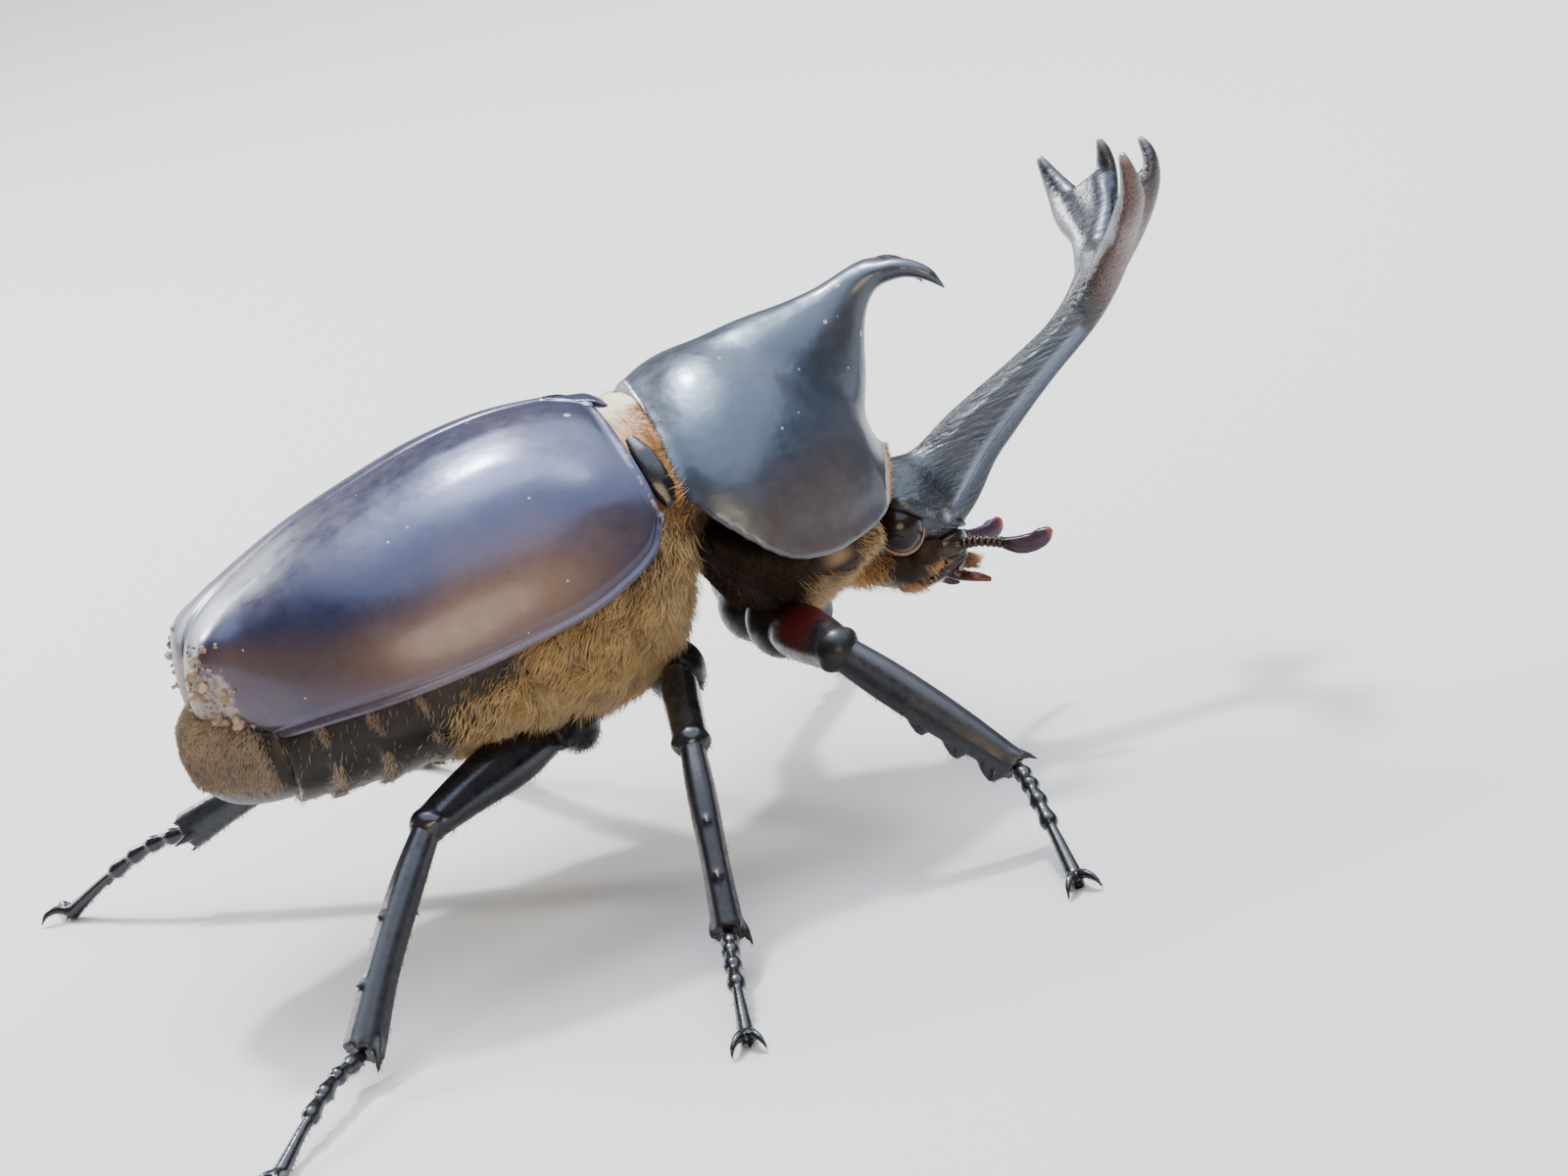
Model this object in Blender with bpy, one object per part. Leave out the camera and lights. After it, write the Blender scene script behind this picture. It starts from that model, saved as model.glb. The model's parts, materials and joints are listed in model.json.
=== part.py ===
"""A male Japanese rhinoceros beetle at life size, standing still on a flat floor.

Lengths are in millimetres, and each finished mesh is put in place in metres.
The body is drawn in a frame of its own: x runs forward, y to its left and z up, with
the origin above the belly, below the middle of the hind edge of the pronotum, level with
the side edges of the wing cases. PITCH, ROLL and BODY_HEIGHT tilt and lift that frame
onto the legs. The feet are given on the floor, so the legs join the two frames.
"""
import bpy
import numpy as np
from mathutils import Matrix

MM = 0.001
GAP = 0.3                       # clear space between pieces that touch
UP = np.array([0.0, 0.0, 1.0])

# Stance on the floor: nose up, right side up, height of the body's origin, and the
# shift that brings the middle of the whole outline over the origin of the part.
PITCH = np.radians(5.0)
ROLL = np.radians(4.0)
BODY_HEIGHT = 19.5
MIDDLE_X = -4.9
MIDDLE_Y = -0.8

# Wing cases, from the shoulder to the tip: middle line x, z; side edge x, y, z;
# x of the core that the cross-section bulges from; roundness (1 is an ellipse).
WING_ROWS = [
    (-3.0, 10.2, -3.0, 10.9, 3.3, -3.0, 1.15),
    (-5.0, 11.0, -4.8, 11.8, 1.4, -5.0, 1.05),
    (-9.0, 11.8, -9.0, 12.6, 0.2, -9.0, 0.95),
    (-13.5, 11.9, -13.5, 13.0, 0.0, -13.5, 0.92),
    (-18.0, 11.4, -18.0, 12.9, 0.0, -18.0, 0.92),
    (-22.5, 10.6, -22.5, 12.0, 0.1, -22.3, 0.88),
    (-26.6, 9.4, -26.4, 9.9, 0.2, -25.8, 0.78),
    (-29.3, 8.4, -28.6, 7.8, 0.1, -27.4, 0.72),
    (-31.1, 7.0, -30.1, 5.8, 0.0, -28.4, 0.70),
    (-31.9, 4.8, -31.1, 4.0, 0.3, -29.2, 0.78),
    (-32.2, 2.2, -31.8, 2.4, 0.9, -29.8, 0.90),
]
WING_WALL = 0.8
# Raised knobs of each wing case: place of the knob, height and width.
WING_KNOBS = [
    ((-31.0, 6.0, 6.4), 0.95, 1.9),
    ((-6.0, 10.2, 6.0), 0.40, 2.2),
]
SHIELD_FRONT, SHIELD_TIP, SHIELD_HALF = -1.1, -5.4, 3.2
SHIELD_HEIGHT, SHIELD_SLOPE = 9.4, 0.33

# Hind body under the wing cases: x, half width, top, bottom, height of the widest line.
THORAX_ROWS = [
    (0.9, 6.2, 6.8, 0.2, 3.6),
    (-1.0, 7.2, 8.0, -1.6, 3.0),
    (-2.6, 8.4, 8.5, -3.6, 2.2),
    (-4.6, 10.0, 8.7, -6.0, 1.0),
    (-8.0, 11.2, 9.2, -7.2, 0.0),
    (-11.5, 11.6, 9.7, -7.3, -0.4),
    (-13.9, 11.6, 9.8, -7.0, -0.6),
]
ABDOMEN_ROWS = [
    (-14.2, 11.5, 9.7, -6.6, -0.8),
    (-18.0, 11.4, 9.2, -6.2, -1.0),
    (-22.5, 10.4, 8.2, -5.9, -1.2),
    (-26.5, 8.8, 6.6, -5.4, -1.4),
    (-29.3, 7.4, 5.0, -4.8, -1.5),
]
TAIL_ROWS = [
    (-29.6, 7.2, 4.8, -4.6, -1.5),
    (-31.4, 6.2, 3.8, -4.3, -1.2),
    (-33.0, 4.6, 2.6, -3.6, -0.8),
    (-34.0, 2.8, 1.6, -2.5, -0.6),
    (-34.4, 1.0, 0.4, -1.4, -0.5),
]
BELLY_PLATES = 5
PLATE_STEP = 0.35               # drop from one belly plate to the next

# Pronotum, from its hind edge to its front edge: the same seven values as the wing
# cases, then how far the underside is hollowed.
PRONOTUM_ROWS = [
    (-0.2, 9.8, -1.2, 9.4, 4.0, -0.9, 1.30, 2.0),
    (0.9, 10.3, 0.3, 10.9, 1.4, 0.6, 1.12, 2.2),
    (3.0, 10.6, 3.0, 11.4, -1.9, 3.0, 1.02, 2.4),
    (5.8, 10.2, 5.6, 10.3, -3.0, 5.6, 0.98, 2.0),
    (8.4, 8.7, 7.5, 9.1, -3.2, 7.6, 0.98, 1.6),
    (10.7, 6.0, 9.1, 7.9, -3.2, 9.4, 0.98, 1.3),
    (12.5, 2.8, 10.3, 6.9, -3.0, 10.9, 0.98, 1.0),
    (13.3, -0.6, 10.9, 6.1, -2.8, 12.2, 0.98, 0.8),
]
# Horn of the pronotum, from inside the dome: x, half width, top, bottom, widest height.
BACK_HORN_ROWS = [
    (4.6, 4.8, 10.5, 2.0, 5.5),
    (7.6, 4.9, 10.6, 1.4, 4.6),
    (10.4, 4.0, 10.4, 1.0, 4.6),
    (12.4, 2.9, 10.4, 1.2, 5.2),
    (13.8, 2.1, 10.5, 3.4, 7.0),
    (14.8, 1.7, 10.7, 6.0, 8.6),
    (15.7, 1.6, 10.75, 7.8, 9.5),
    (16.8, 1.75, 10.7, 8.8, 9.8),
    (17.8, 2.0, 10.4, 8.9, 9.7),
]
BACK_TINE = [(16.9, 0.8, 9.7), (18.4, 1.6, 9.5), (19.6, 2.3, 8.6), (20.3, 2.6, 7.2)]
BACK_TINE_SIZES = [(0.9, 0.8), (0.8, 0.68), (0.6, 0.5), (0.2, 0.16)]
BACK_HORN_CUT = (14.9, 8.7)     # where the horn is parted from the pronotum
BACK_HORN_WAY = (0.85, 0.53)    # its direction there, along x and z

# Underside of the forebody: x, half width, top, bottom, height of the widest line.
PROSTERNUM_ROWS = [
    (-0.3, 6.6, 0.8, -2.4, -0.6),
    (1.4, 8.2, 0.0, -6.6, -2.4),
    (4.0, 8.4, -0.8, -7.4, -3.2),
    (7.2, 7.4, -1.8, -6.6, -3.8),
    (9.8, 6.0, -2.4, -5.6, -4.0),
]

# Head capsule: x, half width, top, bottom, height of the widest line.
HEAD_ROWS = [
    (7.4, 3.2, -2.8, -7.0, -5.0),
    (9.2, 4.0, -2.0, -8.8, -5.4),
    (11.4, 4.3, -1.5, -9.6, -5.6),
    (13.2, 4.2, -1.3, -9.9, -5.6),
    (14.6, 3.4, -1.9, -9.6, -5.8),
    (15.5, 2.2, -3.2, -8.8, -6.0),
]
CLYPEUS_ROWS = [(12.6, 4.3), (13.6, 4.1), (14.6, 3.4), (15.4, 2.75), (15.9, 2.2)]
CLYPEUS_HEIGHT, CLYPEUS_SLOPE, CLYPEUS_HALF = -5.2, -0.57, 0.35
EYE_PLACE, EYE_RADIUS = (11.4, 3.9, -5.2), 1.55
BROW_PATH = [(10.9, 4.2, -3.5), (12.0, 4.9, -3.8), (12.9, 4.7, -4.6), (13.4, 4.2, -5.2)]
BROW_SIZES = [(0.5, 0.4), (0.6, 0.45), (0.6, 0.45), (0.5, 0.4)]
MOUTH_PLACE, MOUTH_SIZE = (13.7, 0.0, -9.5), (1.9, 2.3, 1.5)
PALP_PATH = [(14.2, 1.6, -10.0), (15.0, 2.2, -10.3), (15.9, 2.3, -10.9)]
FEELER_PATH = [
    (14.7, 2.5, -8.1), (15.6, 3.1, -8.1), (16.4, 3.9, -8.4), (17.1, 4.5, -8.8),
    (17.9, 5.0, -9.2), (18.8, 5.45, -9.3), (19.8, 6.0, -8.9),
]
FEELER_RADII = [0.50, 0.42, 0.34, 0.36, 0.56, 0.62, 0.42]
# The whole head is rolled and turned a little about this point.
HEAD_PIVOT, HEAD_ROLL, HEAD_YAW = (14.0, 0.0, -5.0), np.radians(-3.75), np.radians(0.93)

# Head horn along its middle: x, z, half depth, half width.
HORN_ROWS = [
    (12.0, -5.7, 2.3, 3.3),
    (13.6, -5.0, 2.55, 2.9),
    (15.7, -4.1, 2.6, 2.15),
    (18.4, -2.6, 2.1, 1.55),
    (20.6, -1.65, 1.8, 1.35),
    (22.8, -0.75, 1.5, 1.25),
    (25.0, 0.15, 1.28, 1.2),
    (26.8, 0.9, 1.2, 1.2),
    (28.6, 1.9, 1.28, 1.3),
    (30.0, 3.0, 1.35, 1.6),
    (31.3, 4.3, 1.3, 2.2),
    (31.9, 5.0, 0.8, 2.5),
]
HORN_CUT = (17.3, -3.2)         # where the horn is parted from the head
HORN_WAY = (0.89, 0.45)         # its direction there, along x and z
# The fork: the web of one branch, then its outer and inner tine from inside the horn to
# the tip, each row a place with its half width and half depth.
WEB_PATH = [(29.6, 0.5, 2.7), (31.4, 2.1, 4.7), (32.7, 4.1, 6.5), (33.65, 5.9, 8.4)]
WEB_SIZES = [(0.9, 0.7), (1.5, 0.85), (1.95, 0.62), (1.7, 0.45)]
OUTER_TINE = [
    (28.8, 0.2, 1.8, 1.1, 1.15), (30.3, 0.9, 3.3, 1.1, 1.15), (31.5, 2.6, 4.8, 1.1, 1.0),
    (31.95, 4.5, 6.0, 1.25, 0.95), (32.2, 6.1, 6.95, 1.45, 0.9), (32.4, 7.6, 8.0, 1.2, 0.78),
    (32.45, 8.62, 9.4, 0.74, 0.58), (32.4, 9.21, 10.85, 0.26, 0.27),
]
INNER_TINE = [
    (29.4, 0.2, 2.3, 1.1, 1.15), (31.2, 1.3, 3.9, 1.2, 1.05), (32.4, 2.6, 5.2, 1.2, 1.0),
    (33.6, 4.0, 6.6, 1.15, 0.85), (34.6, 4.75, 7.9, 1.0, 0.65), (35.15, 4.9, 9.0, 0.78, 0.5),
    (35.3, 4.7, 9.95, 0.52, 0.4), (35.2, 4.4, 10.8, 0.22, 0.2),
]
FORK_SIDE = (-0.51, 0.86, 0.0)  # the forked blades lie along this direction

# Legs by pair. Coxa places and sizes are in the body's frame. Thicknesses are half sizes,
# and flat gives what a tibia's are multiplied by along the hinge and across it.
PAIRS = {
    "front": dict(coxa=(2.2, 3.7, -7.2), coxa_size=(2.0, 2.7, 2.3), thigh=(1.5, 1.75), knee=1.4,
                  shin=(1.0, 1.15, 1.0), flat=(1.1, 0.85), teeth=(0.50, 0.70, 0.90), tooth=0.45),
    "mid": dict(coxa=(-5.0, 4.2, -7.0), coxa_size=(1.9, 2.6, 2.0), thigh=(1.65, 1.2), knee=1.15,
                shin=(0.85, 1.0, 1.3), flat=(0.9, 1.0), teeth=(0.45, 0.74), tooth=0.8),
    "hind": dict(coxa=(-12.2, 4.9, -7.0), coxa_size=(1.6, 3.4, 1.9), thigh=(1.75, 1.2), knee=1.2,
                 shin=(0.88, 1.05, 1.35), flat=(0.9, 1.0), teeth=(0.42, 0.72), tooth=0.9),
}
# Knee, ankle and foot of each leg, measured on the floor from below the body's origin.
LEGS = {
    ("front", "r"): ((3.4, -15.9, 13.3), (10.2, -23.1, 4.9), (9.3, -33.2, 0.5)),
    ("front", "l"): ((4.9, 15.0, 12.7), (11.2, 22.1, 4.8), (12.6, 32.2, 0.5)),
    ("mid", "r"): ((-7.0, -17.0, 11.4), (-10.0, -26.9, 2.7), (-12.8, -38.3, 0.5)),
    ("mid", "l"): ((-8.0, 15.9, 11.6), (-11.5, 25.6, 3.0), (-15.5, 36.6, 0.5)),
    ("hind", "r"): ((-23.0, -13.0, 11.0), (-31.9, -22.0, 2.1), (-39.7, -32.3, 0.5)),
    ("hind", "l"): ((-22.0, 13.4, 10.2), (-33.5, 23.0, 5.5), (-42.0, 31.5, 0.5)),
}
# Femur and tibia: shares of the length where their thickness is given, and how far they bow.
THIGH_STEPS, THIGH_BOW = (0.1, 0.4, 0.7, 1.0), 0.3
SHIN_STEPS, SHIN_BOW = (0.03, 0.3, 0.65, 1.0), 0.35
TOOTH_RADIUS, TOOTH_LEAN = 0.55, 0.8
# End spurs of a tibia: place round its end in half turns, and length.
SPURS = ((0.2, 1.0), (0.6, 1.5), (1.0, 1.4), (1.5, 0.8))
SPUR_RADIUS, SPUR_FLARE, SPUR_SET_BACK = 0.34, 0.35, 0.55
SPIKE_ROOT, SPIKE_BEND, SPIKE_TIP = 0.5, 0.12, 0.14
# Foot: rise of its arch, radii along one segment, and the claws.
FOOT_ARCH = 0.7
FOOT_SEGMENT = [0.42, 0.42, 0.46, 0.66]
FOOT_SEGMENTS = 4
CLAW_LENGTH = 2.3
CLAW_SPREAD = np.radians(28.0)
CLAW_ROOT = (-0.5, 0.13)  # behind the last segment's end, and to the claw's side
CLAW_STEPS = ((0.35, 0.35), (0.75, 0.15), (1.0, -0.4))  # shares of its length, and heights
CLAW_RADII = [0.42, 0.36, 0.26, 0.16]


def unit(vector):
    """The vector with length 1."""
    return np.asarray(vector, float) / np.linalg.norm(vector)


def smooth(rows, count):
    """Values read evenly along a smooth curve through the rows."""
    rows = np.asarray(rows, float)
    last = len(rows) - 1
    slope = np.gradient(rows, axis=0)
    place = np.linspace(0.0, last, count)
    start = np.minimum(place.astype(int), last - 1)
    t = (place - start)[:, None]
    return ((2 * t**3 - 3 * t**2 + 1) * rows[start] + (t**3 - 2 * t**2 + t) * slope[start]
            + (3 * t**2 - 2 * t**3) * rows[start + 1] + (t**3 - t**2) * slope[start + 1])


def mirrored(points, side):
    """Points of the left side, or the same points on the right for side -1."""
    return np.asarray(points, float) * (1.0, side, 1.0)


def to_floor(points):
    """Points of the body's frame, on the floor from below the body's origin."""
    roll = np.array(Matrix.Rotation(-ROLL, 3, "X"))
    pitch = np.array(Matrix.Rotation(-PITCH, 3, "Y"))
    return np.asarray(points, float) @ (pitch @ roll).T + BODY_HEIGHT * UP


def turned(solid):
    """A closed mesh of the head, rolled and turned with it."""
    points, faces = solid
    turn = np.array(Matrix.Rotation(HEAD_YAW, 3, "Z") @ Matrix.Rotation(HEAD_ROLL, 3, "X"))
    return (points - HEAD_PIVOT) @ turn.T + HEAD_PIVOT, faces


def volume(solid):
    """Signed volume of a closed mesh."""
    points, faces = solid
    total = 0.0
    for face in faces:
        corner = points[list(face)]
        for i in range(1, len(face) - 1):
            total += np.dot(corner[0], np.cross(corner[i], corner[i + 1]))
    return total / 6.0


def outward(points, faces):
    """A closed mesh with its faces pointing out."""
    solid = (np.asarray(points, float), faces)
    if volume(solid) < 0:
        solid = (solid[0], [tuple(reversed(face)) for face in faces])
    return solid


def loft(rings):
    """A closed mesh through rings of equal count, with flat ends."""
    rings = np.asarray(rings, float)
    rows, count = rings.shape[:2]
    faces = [tuple(range(count)), tuple((rows - 1) * count + i for i in range(count))[::-1]]
    for row in range(rows - 1):
        for i in range(count):
            j = (i + 1) % count
            faces.append((row * count + j, row * count + i,
                          (row + 1) * count + i, (row + 1) * count + j))
    return outward(rings.reshape(-1, 3), faces)


def oval(sides, square=2.0):
    """Corners of an oval of half sizes 1, which a larger square value makes boxier."""
    angle = 2 * np.pi * (np.arange(sides) + 0.5) / sides
    across = np.sign(np.cos(angle)) * np.abs(np.cos(angle)) ** (2 / square)
    up = np.sign(np.sin(angle)) * np.abs(np.sin(angle)) ** (2 / square)
    return across, up


def sweep(path, sizes, side, rows=10, sides=10, square=2.0):
    """A tube along a path. Its first half size lies along side, its second across it."""
    sizes = np.asarray(sizes, float)
    if sizes.ndim == 1:
        sizes = np.stack([sizes, sizes], 1)
    line = smooth(np.hstack([np.asarray(path, float), sizes]), rows)
    across, up = oval(sides, square)
    tangents = np.gradient(line[:, :3], axis=0)
    rings = []
    for row, tangent in zip(line, tangents):
        along = unit(tangent)
        wide = unit(side - np.dot(side, along) * along)
        high = np.cross(along, wide)
        rings.append(row[:3] + np.outer(across * row[3], wide) + np.outer(up * row[4], high))
    return loft(rings)


def section(row, sides, square):
    """A ring across x from a row of x, half width, top, bottom and widest height."""
    x, half, top, bottom, widest = row
    across, up = oval(sides, square)
    height = widest + up * np.where(up > 0, top - widest, widest - bottom)
    return np.stack([np.full(sides, x), across * half, height], 1)


def hull_of_rows(rows, count, sides=20, square=2.2):
    """A body along x through such sections."""
    return loft([section(row, sides, square) for row in smooth(rows, count)])


def ball(centre, radii, rows=7, sides=10):
    """An ellipsoid."""
    centre = np.asarray(centre, float)
    radii = np.broadcast_to(np.asarray(radii, float), 3)
    rings = []
    for polar in np.linspace(0.12, np.pi - 0.12, rows):
        angle = 2 * np.pi * np.arange(sides) / sides
        ring = np.stack([np.sin(polar) * np.cos(angle), np.sin(polar) * np.sin(angle),
                         np.full(sides, np.cos(polar))], 1)
        rings.append(centre + ring * radii)
    return loft(rings)


def box(low, high):
    """A box between two corners."""
    low, high = np.asarray(low, float), np.asarray(high, float)
    corners = np.array([(-1, -1), (1, -1), (1, 1), (-1, 1)])
    middle, half = (low + high) / 2, (high - low) / 2
    rings = [[(middle[0] + cx * half[0], middle[1] + cy * half[1], z) for cx, cy in corners]
             for z in (low[2], high[2])]
    return loft(rings)


def backward(way):
    """The opposite direction."""
    return tuple(-part for part in way)


def slab(point, direction, start, reach=60.0):
    """A large block on the far side of a plane that faces along x and z."""
    along = unit((direction[0], 0.0, direction[1]))
    wide = np.array([0.0, 1.0, 0.0])
    high = np.cross(along, wide)
    centre = np.array([point[0], 0.0, point[1]])
    rings = []
    for distance in (start, start + reach):
        rings.append([centre + distance * along + a * 0.5 * reach * wide + b * 0.5 * reach * high
                      for a, b in ((-1, -1), (1, -1), (1, 1), (-1, 1))])
    return loft(rings)


def grown(solid, amount=GAP):
    """A closed mesh with its surface moved out."""
    points, faces = solid
    normals = np.zeros_like(points)
    for face in faces:
        corner = points[list(face)]
        normal = np.zeros(3)
        for i in range(1, len(face) - 1):
            normal += np.cross(corner[i] - corner[0], corner[i + 1] - corner[0])
        normals[list(face)] += normal / (np.linalg.norm(normal) + 1e-12)
    normals /= np.linalg.norm(normals, axis=1)[:, None] + 1e-12
    return points + amount * normals, faces


def to_object(solid):
    """A plain mesh object of a closed mesh."""
    points, faces = solid
    mesh = bpy.data.meshes.new("piece")
    mesh.from_pydata(points.tolist(), [], [tuple(int(i) for i in face) for face in faces])
    mesh.update()
    obj = bpy.data.objects.new("piece", mesh)
    bpy.context.scene.collection.objects.link(obj)
    return obj


def largest_surface(solid):
    """Only the largest closed surface of a mesh."""
    points, faces = solid
    parent = list(range(len(points)))

    def find(i):
        while parent[i] != i:
            parent[i] = parent[parent[i]]
            i = parent[i]
        return i

    for face in faces:
        root = find(face[0])
        for i in face[1:]:
            parent[find(i)] = root
    groups = {}
    for face in faces:
        groups.setdefault(find(face[0]), []).append(face)
    best = max(groups.values(), key=lambda group: abs(volume((points, group))))
    used = sorted({i for face in best for i in face})
    number = {old: new for new, old in enumerate(used)}
    return points[used], [tuple(number[i] for i in face) for face in best]


def boolean(solid, others, operation):
    """A closed mesh joined with, or cut by, others in one step."""
    base = to_object(solid)
    group = bpy.data.collections.new("others")
    bpy.context.scene.collection.children.link(group)
    helpers = [to_object(other) for other in others]
    for helper in helpers:
        group.objects.link(helper)
    modifier = base.modifiers.new("boolean", "BOOLEAN")
    modifier.operation = operation
    modifier.operand_type = "COLLECTION"
    modifier.collection = group
    for solver in ("EXACT", "MANIFOLD"):
        modifier.solver = solver
        depsgraph = bpy.context.evaluated_depsgraph_get()
        mesh = bpy.data.meshes.new_from_object(base.evaluated_get(depsgraph))
        points = np.array([vertex.co[:] for vertex in mesh.vertices])
        faces = [tuple(polygon.vertices) for polygon in mesh.polygons]
        bpy.data.meshes.remove(mesh)
        if faces:
            break
    for obj in helpers + [base]:
        bpy.data.objects.remove(obj)
    bpy.data.collections.remove(group)
    return largest_surface((points, faces))


def union(pieces):
    """Closed meshes joined into one."""
    return boolean(pieces[0], pieces[1:], "UNION")


def cut(solid, cutters):
    """A closed mesh with others cut out of it."""
    return boolean(solid, cutters, "DIFFERENCE")


def material(name, colour, roughness, metallic=0.0):
    """A Principled material."""
    made = bpy.data.materials.new(name)
    made.use_nodes = True
    shader = made.node_tree.nodes["Principled BSDF"]
    shader.inputs["Base Color"].default_value = (*colour, 1.0)
    shader.inputs["Roughness"].default_value = roughness
    shader.inputs["Metallic"].default_value = metallic
    return made


def place(name, solid, finish, root):
    """A named object of a closed mesh on the floor, with its origin at its middle."""
    points, faces = solid
    points = (points - (MIDDLE_X, MIDDLE_Y, 0.0)) * MM
    middle = (points.min(axis=0) + points.max(axis=0)) / 2
    mesh = bpy.data.meshes.new(name)
    mesh.from_pydata((points - middle).tolist(), [], faces)
    mesh.update()
    mesh.shade_smooth()
    mesh.set_sharp_from_angle(angle=np.radians(40.0))
    mesh.materials.append(finish)
    obj = bpy.data.objects.new(name, mesh)
    obj.location = middle
    obj.parent = root
    bpy.context.scene.collection.objects.link(obj)


def on_floor(solid):
    """A closed mesh of the body's frame, moved to the floor's frame."""
    return to_floor(solid[0]), solid[1]


def row_surface(rows, turns, knobs=()):
    """Points and normals of the left half of a shell for each row and turn.

    A turn runs from 0 on the middle line to a quarter turn at the side edge.
    """
    rows = np.asarray(rows)
    core = np.stack([rows[:, 5], np.zeros(len(rows)), rows[:, 4]], 1)
    top = np.stack([rows[:, 0], np.zeros(len(rows)), rows[:, 1]], 1)
    edge = rows[:, 2:5]
    power = rows[:, 6][:, None]
    rise = (np.clip(np.cos(turns), 0, 1) ** power)[:, :, None]
    reach = (np.clip(np.sin(turns), 0, 1) ** power)[:, :, None]
    grid = core[:, None] + (top - core)[:, None] * rise + (edge - core)[:, None] * reach
    for centre, height, width in knobs:
        distance = np.linalg.norm(grid - np.array(centre), axis=2)
        rise = height * np.exp(-(distance / width) ** 2)
        grid = grid + rise[:, :, None] * grid_normals(grid)
    return grid, grid_normals(grid)


def grid_normals(grid):
    """Outward normals of such a grid of points."""
    normals = np.cross(np.gradient(grid, axis=1), np.gradient(grid, axis=0))
    return normals / (np.linalg.norm(normals, axis=2)[:, :, None] + 1e-9)


def between_grids(outer, inner):
    """A closed shell between two grids of points."""
    rows, columns = outer.shape[:2]
    count = rows * columns

    def at(row, column, layer):
        return layer * count + row * columns + column

    faces = []
    for row in range(rows - 1):
        for column in range(columns - 1):
            quad = [(row, column), (row + 1, column), (row + 1, column + 1), (row, column + 1)]
            faces.append(tuple(at(r, c, 0) for r, c in quad))
            faces.append(tuple(at(r, c, 1) for r, c in reversed(quad)))
    rim = ([(0, c) for c in range(columns)] + [(r, columns - 1) for r in range(1, rows)]
           + [(rows - 1, c) for c in range(columns - 2, -1, -1)]
           + [(r, 0) for r in range(rows - 2, 0, -1)])
    for (r, c), (r2, c2) in zip(rim, rim[1:] + rim[:1]):
        faces.append((at(r, c, 0), at(r2, c2, 0), at(r2, c2, 1), at(r, c, 1)))
    return outward(np.vstack([outer.reshape(-1, 3), inner.reshape(-1, 3)]), faces)


def shield_half(x):
    """Half width of the scutellum at x."""
    along = np.clip((x - SHIELD_TIP) / (SHIELD_FRONT - SHIELD_TIP), 0, 1)
    return SHIELD_HALF * along ** 0.8


def wing_case(side):
    """One wing case, a curved shell that leaves room for the scutellum at its front."""
    rows = smooth(WING_ROWS, 21)
    room = shield_half(rows[:, 0])
    start = np.where(room > 0, room + GAP, GAP / 2)
    first = np.arcsin((start / rows[:, 3]) ** (1 / rows[:, 6]))
    turns = first[:, None] + (np.pi / 2 - first)[:, None] * np.linspace(0, 1, 11)
    grid, normals = row_surface(rows, turns, WING_KNOBS)
    shell = between_grids(grid, grid - WING_WALL * normals)
    return outward(mirrored(shell[0], side), shell[1])


def scutellum():
    """The small shield between the roots of the wing cases."""
    rings = []
    for x in np.linspace(SHIELD_FRONT, SHIELD_TIP + 0.5, 7):
        half = shield_half(x)
        top = SHIELD_HEIGHT + SHIELD_SLOPE * (SHIELD_FRONT - x)
        corners = [(x, y * half, top + 0.35 * (1 - y * y)) for y in np.linspace(-1, 1, 7)]
        corners += [(x, y * half, top - 0.9) for y in (1.0, 0.0, -1.0)]
        rings.append(corners)
    return loft(rings)


def belly():
    """The abdomen, whose plates below each drop a little towards the next one's edge."""
    rows = smooth(ABDOMEN_ROWS, BELLY_PLATES + 1)
    stepped = []
    for front, back in zip(rows[:-1], rows[1:]):
        for share in (0.03, 0.5, 0.97):
            row = front + share * (back - front)
            row[1] += 0.6 * share * PLATE_STEP
            row[3] -= share * PLATE_STEP
            stepped.append(row)
    return loft([section(row, 18, 2.2) for row in stepped])


def pronotum_dome():
    """The pronotum without its horn, hollowed below."""
    rows = smooth(PRONOTUM_ROWS, 13)
    turns = np.broadcast_to(np.linspace(0, np.pi / 2, 11), (len(rows), 11))
    grid, _ = row_surface(rows, turns)
    rings = []
    for half, row in zip(grid, rows):
        core = np.array([row[5], 0.0, row[4]])
        below = np.linspace(0, np.pi, 12)[1:-1]
        across = half[-1] - core
        under = [core + (across[0], across[1] * np.cos(t), 0.0) + row[7] * np.sin(t) * UP
                 for t in below]
        rings.append(np.vstack([mirrored(half[:0:-1], -1), half, under]))
    return loft(rings)


def back_horn():
    """The forked horn of the pronotum, down to its broad root inside the dome."""
    pieces = [hull_of_rows(BACK_HORN_ROWS, 15, sides=18, square=2.0)]
    for side in (1, -1):
        pieces.append(sweep(mirrored(BACK_TINE, side), BACK_TINE_SIZES, (0.0, 1.0, 0.0),
                            rows=6, sides=8))
    return union(pieces)


def head_horn():
    """The long head horn with its two forked branches."""
    path = [(x, 0.0, z) for x, z, _, _ in HORN_ROWS]
    sizes = [(width, depth) for _, _, depth, width in HORN_ROWS]
    pieces = [sweep(path, sizes, (0.0, 1.0, 0.0), rows=15, sides=12, square=2.4)]
    for side in (1, -1):
        wide = mirrored(FORK_SIDE, side)
        pieces.append(sweep(mirrored(WEB_PATH, side), WEB_SIZES, wide, rows=7, sides=12))
        for tine in (OUTER_TINE, INNER_TINE):
            rows = np.array(tine)
            pieces.append(sweep(mirrored(rows[:, :3], side), rows[:, 3:], wide, rows=9, sides=8))
    return union(pieces)


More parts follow.
